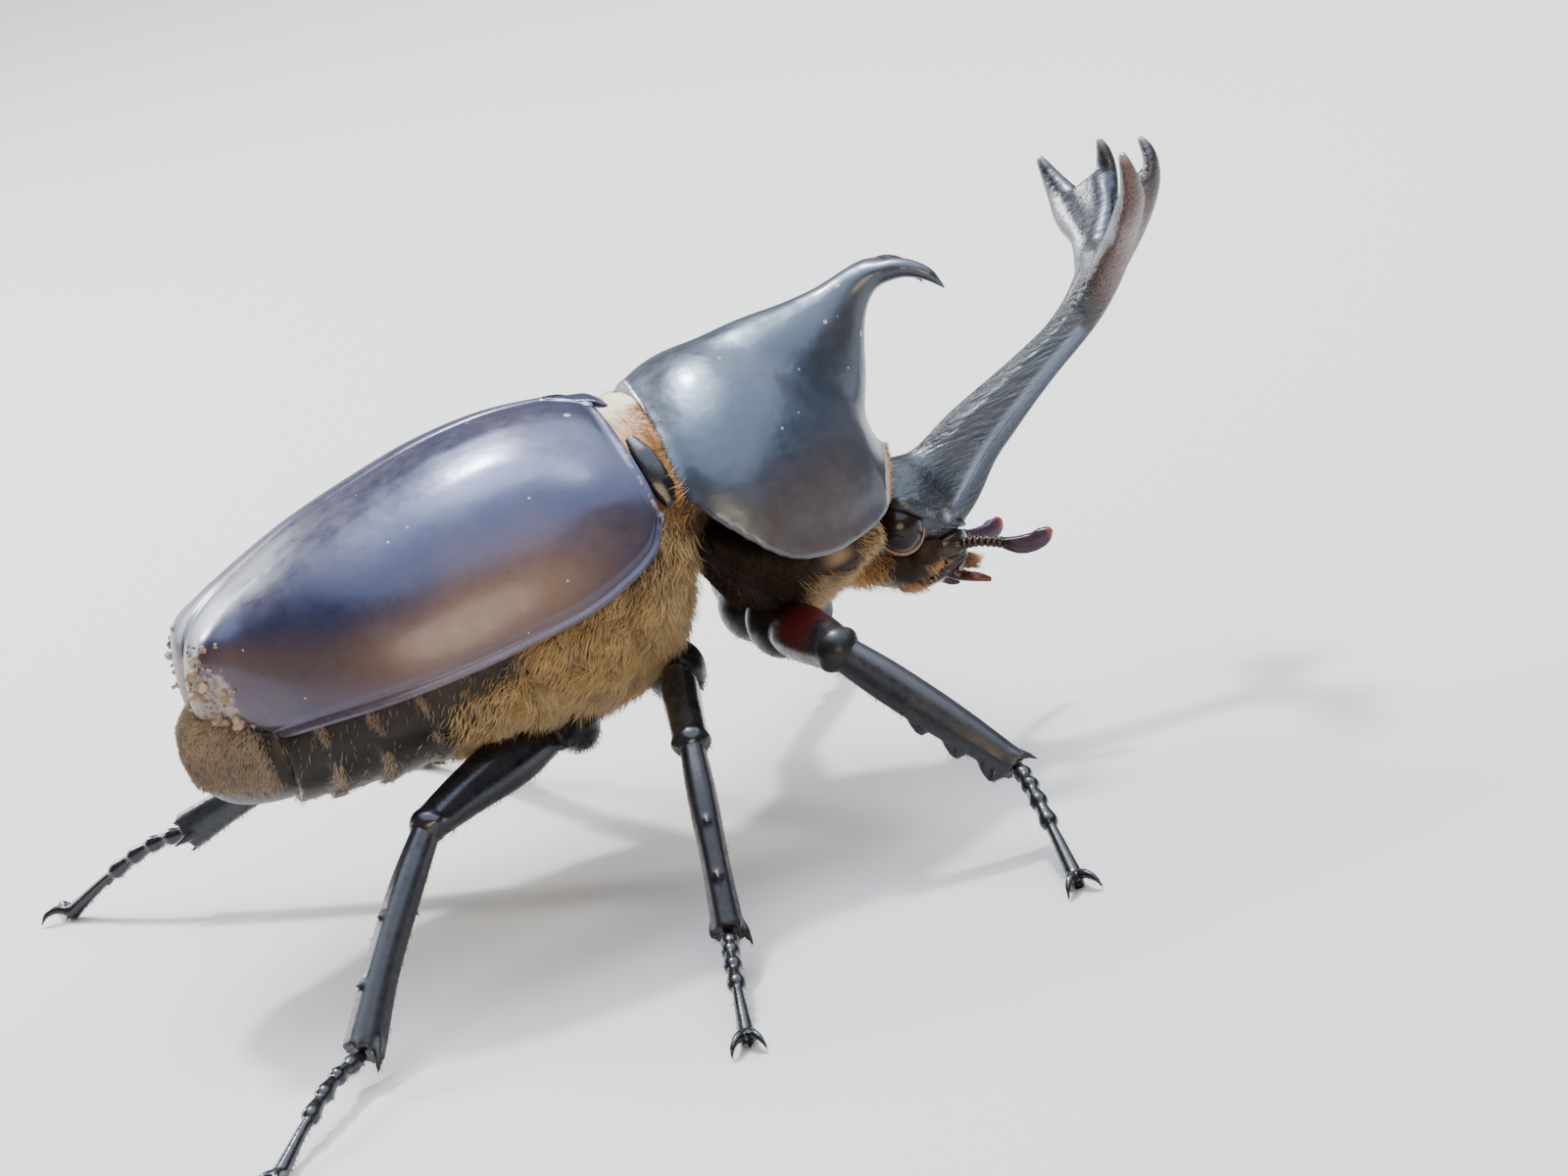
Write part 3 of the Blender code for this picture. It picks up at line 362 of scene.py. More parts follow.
def outline(half, sides):
    """Corners of a cross-section whose right half runs through the given points."""
    half = np.asarray(half, float)
    whole = np.vstack([half, half[-2:0:-1] * (-1, 1), half[:1]])
    reach = np.concatenate([[0], np.cumsum(np.linalg.norm(np.diff(whole, axis=0), axis=1))])
    steps = np.linspace(0, reach[-1], sides, endpoint=False)
    return np.stack([np.interp(steps, reach, whole[:, i]) for i in (0, 1)], 1)


def sweep(path, sizes, side, rows=40, ring=None):
    """A tube along a path. Its first half size lies along side, its second across it."""
    sizes = np.asarray(sizes, float)
    if sizes.ndim == 1:
        sizes = np.stack([sizes, sizes], 1)
    ring = oval(24) if ring is None else ring
    line = smooth(np.hstack([np.asarray(path, float), sizes]), rows)
    along = unit(np.gradient(line[:, :3], axis=0))
    side = np.asarray(side, float)
    wide = unit(side - (along @ side)[:, None] * along)
    high = np.cross(along, wide)
    rings = (line[:, None, :3] + (ring[:, 0] * line[:, 3:4])[:, :, None] * wide[:, None]
             + (ring[:, 1] * line[:, 4:5])[:, :, None] * high[:, None])
    return loft(rings)


def hull_of_rows(rows, count, sides=72, square=2.2):
    """A body along x through sections of x, half width, top, bottom and widest height."""
    ring = oval(sides, square)
    values = smooth(rows, count) if count else np.asarray(rows, float)
    x, half, top, bottom, widest = values.T[:, :, None]
    up = ring[:, 1]
    height = widest + up * np.where(up > 0, top - widest, widest - bottom)
    return loft(np.stack([x + 0 * up, half * ring[:, 0], height], -1))


def ball(centre, radii, rows=24, sides=36):
    """An ellipsoid."""
    polar = np.linspace(0.02, np.pi - 0.02, rows)[:, None]
    angle = 2 * np.pi * np.arange(sides) / sides
    ring = np.stack([np.sin(polar) * np.cos(angle), np.sin(polar) * np.sin(angle),
                     np.cos(polar) + 0 * angle], -1)
    return loft(np.asarray(centre, float) + ring * np.broadcast_to(radii, 3))


def spindle(root, tip, radii, side=UP, rows=12, bend=(0, 0, 0), sides=12):
    """A short rounded or pointed limb between two points."""
    root, tip = np.asarray(root, float), np.asarray(tip, float)
    shares = np.linspace(0, 1, len(radii))
    path = [root + t * (tip - root) + np.sin(np.pi * t) * np.asarray(bend) for t in shares]
    return sweep(path, radii, side, rows, oval(sides))


def joined(solids):
    """Meshes side by side in one."""
    points, faces, count = [], [], 0
    for solid_points, solid_faces in solids:
        points.append(solid_points)
        faces += [[i + count for i in face] for face in solid_faces]
        count += len(solid_points)
    return np.vstack(points), faces


def to_mesh(name, points, faces):
    """A Blender mesh with its faces pointing out."""
    mesh = bpy.data.meshes.new(name)
    mesh.from_pydata(points.tolist(), [], faces if isinstance(faces, list) else faces.tolist())
    mesh.update()
    return mesh


def modified(solid, kind, others=(), **settings):
    """A closed mesh changed by one modifier, which may work with other meshes."""
    base = bpy.data.objects.new("work", to_mesh("work", *solid))
    bpy.context.scene.collection.objects.link(base)
    group = bpy.data.collections.new("work")
    for other in others:
        group.objects.link(bpy.data.objects.new("work", to_mesh("work", *other)))
    bpy.context.scene.collection.children.link(group)
    modifier = base.modifiers.new("work", kind)
    for key, value in settings.items():
        setattr(modifier, key, value)
    if others:
        modifier.collection = group
    mesh = bpy.data.meshes.new_from_object(
        base.evaluated_get(bpy.context.evaluated_depsgraph_get()))
    points = np.zeros(len(mesh.vertices) * 3)
    mesh.vertices.foreach_get("co", points)
    faces = [list(face.vertices) for face in mesh.polygons]
    for obj in [base, *group.objects]:
        bpy.data.objects.remove(obj)
    bpy.data.collections.remove(group)
    bpy.data.meshes.remove(mesh)
    return points.reshape(-1, 3), faces


def cut(solid, others):
    """A closed mesh with others cut out of it."""
    made = (np.zeros((0, 3)), [])
    for solver in ("EXACT", "MANIFOLD"):
        if not made[1]:
            made = modified(solid, "BOOLEAN", others, operation="DIFFERENCE", solver=solver,
                            operand_type="COLLECTION")
    return made


def relax(points, faces, rounds, weight):
    """Points of a mesh moved towards their neighbours' middle."""
    quads = np.asarray(faces)
    ends = np.vstack([quads[:, [i, (i + 1) % 4]] for i in range(4)])
    a, b = np.unique(np.sort(ends, axis=1), axis=0).T
    count = len(points)
    near = np.bincount(a, minlength=count) + np.bincount(b, minlength=count)
    weight = np.broadcast_to(weight, count)[:, None] * 0.5
    for _ in range(rounds):
        sums = [np.bincount(a, points[b, i], count) + np.bincount(b, points[a, i], count)
                for i in range(3)]
        middle = np.stack(sums, 1) / near[:, None]
        points = points + weight * (middle - points)
    return points


def fuse(solids, voxel, rounds=4, weight=1.0):
    """Closed meshes melted into one smooth one. Weight is a share or a function of points."""
    points, faces = modified(joined(solids), "REMESH", mode="VOXEL", voxel_size=voxel)
    share = weight(points) if callable(weight) else weight
    return relax(points, faces, rounds, share), faces


def quad_normals(points, quads):
    """Normals of quads, each twice as long as its quad's area."""
    a, b, c, d = (points[quads[:, i]] for i in range(4))
    return np.cross(c - a, d - b)


def normals_of(points, faces):
    """Outward normals at the points of a closed mesh of quads."""
    quads = np.asarray(faces)
    normal = quad_normals(points, quads)
    total = np.zeros_like(points)
    for i in range(4):
        for axis in range(3):
            total[:, axis] += np.bincount(quads[:, i], normal[:, axis], len(points))
    return unit(total)


def bell(value, centre, width):
    """1 where the value is at the centre, falling smoothly to 0."""
    return np.exp(-((np.asarray(value) - centre) / width) ** 2)


def ramp(value, low, high):
    """0 up to low and 1 from high, smooth between."""
    t = np.clip((np.asarray(value) - low) / (high - low), 0, 1)
    return t * t * (3 - 2 * t)


def nearness(points, line, width):
    """1 on a line of points, falling to 0 at a few widths from it."""
    best = np.full(len(points), 1e9)
    for part in np.asarray(line, float):
        best = np.minimum(best, ((points - part) ** 2).sum(1))
    return np.exp(-best / width**2)


# Pieces.

def piece(name, solid, finish, nodes=(), marks=None, on_body=True, sharp=None):
    """An object in place of CAD nodes. Marks are values at its points for its material."""
    points, faces = solid
    placed = to_world(to_floor(points) if on_body else points)
    mesh = to_mesh(name, placed, faces)
    lie = mesh.attributes.new("body", "FLOAT_VECTOR", "POINT")
    lie.data.foreach_set("vector", np.asarray(points, np.float32).ravel())
    for key, values in (marks or {}).items():
        mark = mesh.attributes.new(key, "FLOAT", "POINT")
        mark.data.foreach_set("value", np.asarray(values, np.float32))
    mesh.shade_smooth()
    if sharp:
        mesh.set_sharp_from_angle(angle=np.radians(sharp))
    mesh.materials.append(finish)
    obj = bpy.data.objects.new(name, mesh)
    bpy.context.scene.collection.objects.link(obj)
    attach(obj, "root")
    if nodes:
        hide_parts(*nodes)
    return obj


def row_surface(rows, turns, knobs=()):
    """Points and normals of the left half of a shell for each row and turn."""
    core = np.stack([rows[:, 5], 0 * rows[:, 5], rows[:, 4]], 1)
    top = np.stack([rows[:, 0], 0 * rows[:, 0], rows[:, 1]], 1)
    power = rows[:, 6][:, None]
    rise = (np.clip(np.cos(turns), 0, 1) ** power)[:, :, None]
    reach = (np.clip(np.sin(turns), 0, 1) ** power)[:, :, None]
    out = rows[:, None, 2:5] - core[:, None]
    grid = core[:, None] + (top - core)[:, None] * rise + out * reach
    for centre, height, width in knobs:
        distance = np.linalg.norm(grid - np.array(centre), axis=2)
        grid = grid + (height * np.exp(-(distance / width) ** 2))[:, :, None] * grid_normals(grid)
    return grid, grid_normals(grid)


def grid_normals(grid):
    """Outward normals of such a grid."""
    return unit(np.cross(np.gradient(grid, axis=1), np.gradient(grid, axis=0)))


def shield_half(x):
    """Half width of the scutellum at x."""
    along = np.clip((x - SHIELD_TIP) / (SHIELD_FRONT - SHIELD_TIP), 0, 1)
    return SHIELD_HALF * along ** 0.8


def run_lengths(grid, axis):
    """Distance along rows or columns of a grid, from its first line and from its last."""
    steps = np.linalg.norm(np.diff(grid, axis=axis), axis=2)
    pad = [(0, 0), (0, 0)]
    pad[axis] = (1, 0)
    there = np.cumsum(np.pad(steps, pad), axis=axis)
    total = np.take(there, [-1], axis=axis)
    return there, total - there


def wing_case(side, rows_count=150, columns=96):
    """One wing case: a thin shell with a beaded side edge and a low bead by the suture."""
    rows = smooth(WING_ROWS, rows_count)
    room = shield_half(rows[:, 0])
    start = np.where(room > 0, room + 0.12, 0.05)
    first = np.arcsin((start / rows[:, 3]) ** (1 / rows[:, 6]))
    t = np.linspace(0, 1, columns)
    t = t - 0.11 * np.sin(2 * np.pi * t)
    turns = first[:, None] + (np.pi / 2 - first)[:, None] * t
    grid, normals = row_surface(rows, turns, WING_KNOBS)
    from_mid, from_edge = run_lengths(grid, 1)
    from_front, from_tip = run_lengths(grid, 0)
    edge = np.minimum(from_edge, from_tip)
    height = (0.12 * bell(edge, 0.2, 0.16) - 0.12 * bell(edge, 0.62, 0.24)
              + 0.07 * bell(from_mid, 0.18, 0.15) - 0.05 * bell(from_mid, 0.5, 0.18)
              + 0.05 * bell(from_front, 0.25, 0.2) - 0.03 * bell(from_front, 0.7, 0.25))
    x, y = grid[:, :, 0], grid[:, :, 1]
    for rib in WING_RIBS:
        height += 0.03 * bell(y, rib, 0.5) * ramp(-x, 6, 10) * ramp(x, -31, -26)
    # Painted reflection: the warm mark browns the downward-facing lower flank, where a brown surface
    # below would be mirrored, with a wavy upper edge. It is weak at the shoulder, which stays dark as
    # a painted dark reflection, and weaker at the rear and by the edges.
    waves = 0.05 * np.sin(0.36 * x + 0.4) + 0.02 * np.sin(1.1 * x + 0.6 * y)
    warm = (ramp(waves - normals[:, :, 2], -0.66, -0.18) * (0.2 + 0.8 * ramp(-x, 4, 12))
            * (1 - 0.55 * ramp(-x, 19, 27)) * (1 - 0.4 * bell(edge, 0.0, 1.6)))
    outer = grid + height[:, :, None] * normals
    inner = grid - WING_WALL * normals
    count = rows_count * columns
    faces = grid_faces(rows_count, columns, False)
    number = np.arange(count).reshape(rows_count, columns)
    rim = np.concatenate([number[0], number[1:, -1], number[-1, -2::-1], number[-2:0:-1, 0]])
    ahead = np.roll(rim, -1)
    band = np.stack([rim, ahead, ahead + count, rim + count], 1)
    points = np.vstack([outer.reshape(-1, 3), inner.reshape(-1, 3)])
    faces = np.vstack([faces, faces[:, ::-1] + count, band])
    if side > 0:
        faces = faces[:, ::-1]
    dirt = (0.85 * ramp(-x, 29.6, 31.0) * ramp(-grid[:, :, 2], -7.0, -5.0)
            + 0.7 * bell(from_front, 0.3, 0.5))
    marks = {"rim": bell(edge, 0.2, 0.2), "warm": warm, "dirt": dirt}
    marks = {key: np.tile(values.ravel(), 2) for key, values in marks.items()}
    return (mirrored(points, side), faces), marks


def scutellum():
    """The small shield between the roots of the wing cases, with a raised rim."""
    across = np.linspace(-1, 1, 41)
    rings = []
    for x in np.linspace(SHIELD_FRONT, SHIELD_TIP + 0.15, 50):
        half = shield_half(x)
        top = SHIELD_HEIGHT + SHIELD_SLOPE * (SHIELD_FRONT - x) - 0.9 * ramp(x, -2.9, SHIELD_FRONT)
        rim = 0.12 * bell((1 - np.abs(across)) * half, 0.18, 0.15)
        upper = np.stack([x + 0 * across, across * half, top + 0.35 * (1 - across**2) + rim], 1)
        lower = np.stack([x + 0 * across, across[::-1] * half, top - 0.9 + 0 * across], 1)
        rings.append(np.vstack([upper, lower]))
    return fuse([loft(rings)], CELL["shield"], 3)


def pronotum():
    """The pronotum with its forked horn and beaded edges."""
    rows = smooth(PRONOTUM_ROWS, 80)
    turns = np.broadcast_to(np.linspace(0, np.pi / 2, 64), (len(rows), 64))
    grid, _ = row_surface(rows, turns)
    under_turns = np.linspace(0, np.pi, 60)[1:-1]
    rings = []
    for half, row in zip(grid, rows):
        core = np.array([row[5], 0.0, row[4]])
        across = half[-1] - core
        under = (core + np.stack([across[0] + 0 * under_turns, across[1] * np.cos(under_turns),
                                  row[7] * np.sin(under_turns)], 1))
        rings.append(np.vstack([mirrored(half[:0:-1], -1), half, under]))
    solids = [loft(rings), hull_of_rows(BACK_HORN_ROWS, 70, square=2.0)]
    edges, hems = [], []
    for _, side in SIDES:
        hems.append([mirrored(grid[0], side), mirrored(grid[-1], side)])
        solids.append(sweep(mirrored(BACK_TINE, side), BACK_TINE_SIZES, LEFT, 30, oval(24)))
        for line in (grid[0], grid[:, -1], grid[-1]):
            path = mirrored(line[::3], side)
            edges.append(path)
            bead = np.full(len(path), PRONOTUM_BEAD)
            solids.append(sweep(path, bead, UP + 0.3 * LEFT, 140, oval(12)))
    edges = np.vstack(edges)

    def weight(points):
        horn_end = ramp(points[:, 0], 14.5, 17)
        return (1 - 0.92 * nearness(points, edges, 1.0)) * (1 - 0.8 * horn_end)

    points, faces = fuse(solids, CELL["pronotum"], 68, weight)
    points = relax(points, faces, 4, 0.7)
    x, y, z = points.T
    # Painted reflection: the warm mark browns the low flanks, less towards the front, and the sides of
    # the horn's base, where a brown surface below would be mirrored.
    warm = (0.9 * ramp(-z, -5.0, 0.5) * (1 - 0.6 * ramp(x, 7.5, 11))
            + 0.35 * ramp(x, 8, 14) * ramp(z, 3, 8))
    front_hem = np.vstack([hem[1] for hem in hems])
    dirt = np.maximum(0.25 * ramp(x, 6, 12), 1.8 * nearness(points, front_hem, 0.5))
    marks = {"rim": nearness(points, edges, 0.45), "warm": np.clip(warm, 0, 1), "dirt": dirt}
    return (points, faces), marks, hems


def head():
    """The head with its long forked horn."""
    solids = [hull_of_rows(HEAD_ROWS, 50, 64, 2.1)]
    clypeus = smooth(CLYPEUS_ROWS, 40)
    ring = oval(40, 3.0)
    height = CLYPEUS_HEIGHT + CLYPEUS_SLOPE * (clypeus[:, :1] - CLYPEUS_ROWS[0][0])
    rings = [clypeus[:, :1] + 0 * ring[:, 0], clypeus[:, 1:] * ring[:, 0],
             height + ring[:, 1] * CLYPEUS_HALF]
    solids.append(loft(np.stack(rings, -1)))
    horn = np.array(HORN_ROWS)
    path = np.stack([horn[:, 0], 0 * horn[:, 0], horn[:, 1]], 1)
    solids.append(sweep(path, horn[:, [3, 2]], LEFT, 120, outline(HORN_SECTION, 72)))
    along = unit(np.gradient(path, axis=0))
    high = np.cross(along, LEFT)
    columns = np.hstack([horn[:, 1:], high[:, [0, 2]]]).T
    ridge = []
    for x, out, down in RIDGE_ROWS:
        z, deep, wide, lean_x, lean_z = [np.interp(x, horn[:, 0], column) for column in columns]
        ridge.append((x + down * deep * lean_x, out * wide, z + down * deep * lean_z))
    tips, lines, strip_reflection_lines = [], [], []
    for _, side in SIDES:
        lines.append(smooth(mirrored(ridge, side), 60))
        # Lines beside each ridge, along which a blue reflection strip is painted.
        strip_reflection_lines.append(lines[-1] + (0.16, -0.12 * side, -0.36))
        solids.append(sweep(mirrored(BROW_PATH, side), BROW_SIZES, UP, 30, oval(16)))
        solids.append(sweep(mirrored(ridge, side), [0.14, 0.18, 0.15, 0.08], UP, 80, oval(12)))
        wide = side * mirrored(FORK_SIDE, side)
        solids.append(sweep(mirrored(WEB_PATH, side), WEB_SIZES, wide, 40, oval(40, 2.6)))
        for branch in (OUTER_BRANCH, INNER_BRANCH):
            branch = np.array(branch)
            path = mirrored(branch[:, :3], side)
            solids.append(sweep(path, branch[:, 3:], wide, 70, oval(36)))
            tips.append(path[-1])

    def weight(points):
        fork = 0.14 + 0.86 * bell(points[:, 0], 31.5, 2.6)
        return fork * (1 - 0.9 * nearness(points, tips, 1.6))

    points, faces = fuse(solids, CELL["head"], 31, weight)
    x, y, z = points.T
    root = bell(x, 14.2, 2.4) * ramp(z + 0.45 * np.abs(y), -4.6, -3.2)
    points = relax(points, faces, 165, root * ramp(4.9 - np.abs(y), 0.0, 0.8))
    normals = normals_of(points, faces)
    x, y, z = points.T
    facing = normals @ np.array([0.55, 0.0, -0.83])
    outward = np.sign(y) * normals[:, 1] + 0.1 * normals[:, 0] - 0.2 * normals[:, 2]
    highlight_spots = np.vstack([mirrored(HIGHLIGHT_SPOTS, side) for _, side in SIDES])
    inner = smooth(np.array(INNER_BRANCH)[4:, :3], 12)
    brown = ramp(x, 28.0, 31.0) * ramp(outward, 0.0, 0.35)
    brown = brown * (1 - 0.8 * nearness(points * (1, 0, 1), inner * (1, 0, 1), 0.9))
    lip = CLYPEUS_HEIGHT + CLYPEUS_SLOPE * (x - CLYPEUS_ROWS[0][0]) - CLYPEUS_HALF
    under = ramp(lip - z, 0.0, 0.15) * ramp(x, 12.8, 13.4) * ramp(-x, -16.5, -16.0)
    front = ramp(facing, 0.62, 0.85) * ramp(x, 15.5, 17.0)
    # Painted highlights: the rim mark puts a pale blue-white line along each side ridge and spots
    # above and in front of each eye. The strip mark paints a blue reflection band beside the ridges.
    ridges = 0.8 * nearness(points, np.vstack(lines), 0.2)
    marks = {"tip": nearness(points, tips, 0.5), "warm": brown,
             "rim": np.maximum(ridges, nearness(points, highlight_spots, 0.3)),
             "strip": nearness(points, np.vstack(strip_reflection_lines), 0.36) * (1 - 0.6 * front),
             "front": np.maximum.reduce([front, under, 0.8 * brown]),
             "club": ramp(x, 28.0, 31.0), "shade": ramp(-x, -21.0, -15.5)}
    return (points, faces), marks


def throat():
    """The dark underside of the head."""
    solids = [hull_of_rows(THROAT_ROWS, 40, 56, 2.3)]
    for _, side in SIDES:
        solids.append(ball(mirrored((12.6, 2.9, -7.4), side), (1.2, 0.8, 1.0)))
    return fuse(solids, CELL["throat"], 6)


def waist(cutters):
    """The folded membrane between the pronotum and the wing cases."""
    points, faces = trunk(WAIST_ROWS, cutters, CELL["waist"], 6)
    normals = normals_of(points, faces)
    x, y, z = points.T
    folds = (0.09 * np.sin(5.2 * x + 0.9 * np.sin(0.9 * y))
             + 0.05 * np.sin(9.0 * x + 1.7 * y + 0.4 * z))
    points = points + folds[:, None] * normals
    # The shade mark darkens the low sides: painted shade.
    return (points, faces), {"warm": ramp(np.abs(y), 2.0, 7.5), "shade": ramp(-z, -7.0, -3.0)}


def waist_plate(side):
    """The dark side plate that shows between the pronotum and a wing case."""
    thick = [(0.35, 0.16), (0.68, 0.3), (0.8, 0.34), (0.4, 0.2)]
    solids = [sweep(mirrored(WAIST_PLATE, side), thick, (1, 0, 0), 40, oval(24, 2.4)),
              ball(mirrored((-1.75, 9.35, 4.6), side), (0.45, 0.35, 0.8))]
    return fuse(solids, CELL["waist_plate"], 4)


def crumbs(side, count, seed):
    """Small lumps of dried dirt stuck to the rear of a wing case."""
    rng = np.random.default_rng(seed)
    rows = smooth(WING_ROWS, 170)
    turns = np.broadcast_to(np.linspace(0.05, np.pi / 2, 110), (170, 110))
    grid, normals = row_surface(rows, turns, WING_KNOBS)
    x, y, z = grid.reshape(-1, 3).T
    chance = ramp(-x, 29.5, 31.0) * bell(y, 5.2, 1.7) * ramp(-z, -8.0, -6.0) * ramp(z, 0.2, 1.6)
    picked = rng.choice(len(x), count, p=chance / chance.sum())
    solids = []
    for number in picked:
        place = grid.reshape(-1, 3)[number]
        out = normals.reshape(-1, 3)[number]
        size = 0.10 + 0.26 * rng.random() ** 2.2
        for _ in range(3):
            centre = place + 0.2 * size * out + 0.6 * size * rng.normal(size=3)
            solids.append(ball(mirrored(centre, side), size * rng.uniform(0.55, 1.1, 3), 9, 12))
    return fuse(solids, CELL["crumbs"], 1, 0.5)


def antenna(side):
    """A feeler: stalk, seven rings and a club of three leaves."""
    stalk = smooth(STALK_PATH, 9)
    solids = [spindle(stalk[0] - (0.5, 0.3, 0), stalk[1], [0.3, 0.5, 0.42, 0.3])]
    for place, ahead in zip(stalk[1:-1], stalk[2:]):
        way = unit(ahead - place)
        solids.append(spindle(place - 0.18 * way, place + 0.22 * way, [0.24, 0.38, 0.42, 0.24]))
    aside = unit(np.cross(CLUB_PATH[-1] - np.array(CLUB_PATH[0]), UP))
    for leaf, size in ((-1, 0.8), (0, 1.0), (1, 0.85)):
        path = np.asarray(CLUB_PATH) + 0.24 * leaf * aside
        path[-1] = path[-2] + size * (path[-1] - path[-2])
        solids.append(sweep(path, CLUB_SIZES, np.cross(aside, path[-1] - path[0]), 30,
                            oval(20, 2.1)))
    solids = [(mirrored(points, side), faces) for points, faces in solids]
    points, faces = fuse(solids, CELL["antenna"], 6, 0.8)
    tip = 0.9 * ramp(points[:, 0], 19.3, 20.1)
    return (points, faces), {"tip": tip, "club": ramp(points[:, 0], 17.1, 17.5)}


def mouth():
    """Jaws, lip, chin plate and palps."""
    solids = [ball((12.7, 0, -9.45), (2.0, 1.9, 0.5)), ball((14.9, 0, -8.9), (0.8, 1.2, 0.5))]
    for _, side in SIDES:
        solids += [sweep(mirrored(JAW_PATH, side), JAW_SIZES, UP, 24, oval(24, 3.0)),
                   ball(mirrored((14.2, 1.5, -8.9), side), (1.15, 0.8, 0.62)),
                   sweep(mirrored(PALP_PATH, side), [0.26, 0.34, 0.18], UP, 16, oval(14))]
        for root, tip, radii in (((13.9, 1.0, -9.2), (15.6, 0.8, -9.5), [0.5, 0.45, 0.2]),
                                 ((13.6, 1.4, -9.5), (14.5, 1.75, -10.1), [0.2, 0.34, 0.22]),
                                 ((13.4, 0.6, -9.9), (14.3, 0.8, -10.5), [0.2, 0.26, 0.12])):
            solids.append(spindle(mirrored(root, side), mirrored(tip, side), radii))
    points, faces = fuse(solids, CELL["mouth"], 3)
    tip = 0.18 * ramp(points[:, 0], 14.0, 15.4) * ramp(-points[:, 2], 9.3, 10.0)
    return (points, faces), {"tip": tip}


def eye_rim(side):
    """The narrow ring of shell round an eye."""
    angle = np.linspace(0, 2 * np.pi, 40)
    out = unit((0.05, 1.0, 0.05))
    first = unit(np.cross(out, UP))
    second = np.cross(out, first)
    centre = np.array(EYE_PLACE) + 0.25 * out
    line = (centre + 1.53 * np.cos(angle)[:, None] * first
            + EYE_RADII[2] * np.sin(angle)[:, None] * second)
    thick = np.clip(0.02 + 0.14 * (centre - line)[:, 2] / 1.6, 0.03, 0.16)
    ring = sweep(mirrored(line, side), thick, LEFT, 120, oval(12))
    return fuse([ring], CELL["eye_rim"], 2)


def belly():
    """The abdomen with its stepped plates."""
    rows = smooth(ABDOMEN_ROWS, BELLY_PLATES + 1)
    stepped = []
    for front, back in zip(rows[:-1], rows[1:]):
        for share in (0.0, 0.04, 0.2, 0.4, 0.6, 0.8, 0.94, 0.99):
            row = front + share * (back - front)
            lift = 0.15 + 0.85 * share if share else 0.0
            row[1] += 0.6 * lift * PLATE_STEP
            row[3] -= lift * PLATE_STEP
            stepped.append(row)
    return hull_of_rows(stepped, 0)


def trunk(rows, cutters, voxel=CELL["trunk"], rounds=5):
    """A body along x, from its rows or its solid, cleared from under the wing cases."""
    solid = rows if isinstance(rows, tuple) else hull_of_rows(rows, 60)
    return fuse([cut(solid, cutters)] if cutters else [solid], voxel, rounds)


def leg(pair, letter):
    """The four solids of one leg by name, on the floor."""
    sizes = PAIRS[pair]
    side = dict(SIDES)[letter]
    knee, ankle, foot = (np.array(point) for point in LEGS[(pair, letter)])
    hip = to_floor(mirrored(sizes["coxa"], side))
    points, faces = ball(mirrored(sizes["coxa"], side), sizes["coxa_size"])
    hip_ball = (to_floor(points), faces)
    across = unit(np.cross(knee - hip, ankle - knee))
    collar = spindle(hip + 0.03 * (knee - hip), hip + 0.22 * (knee - hip), [0.9, 1.15, 0.9])
    coxa = fuse([hip_ball, collar], CELL["coxa"], 3)

    high, wide = sizes["thigh"]
    bow = unit(np.cross(across, knee - hip))
    bow = bow if bow[2] > 0 else -bow
    path = [hip + t * (knee - hip) + 0.3 * np.sin(np.pi * t) * bow for t in (0.1, 0.4, 0.7, 1.0)]
    joint = sizes["knee"]
    thick = [(0.75 * wide, 0.6 * high), (wide, high), (0.95 * wide, 0.85 * high),
             (0.95 * joint, 0.9 * joint)]
    thigh = [sweep(path, thick, across, 50, oval(40, 2.3)), ball(knee, 0.98 * joint)]
    for turn in (-1, 1):
        thigh.append(ball(knee + 0.55 * joint * turn * across, 0.56 * joint))
    thigh = fuse(thigh, CELL["femur"], 7)

    return {"coxa": coxa, "femur": thigh, "tibia": shin(sizes, knee, ankle, across, side),
            "tarsus": tarsus(knee, ankle, foot, across)}


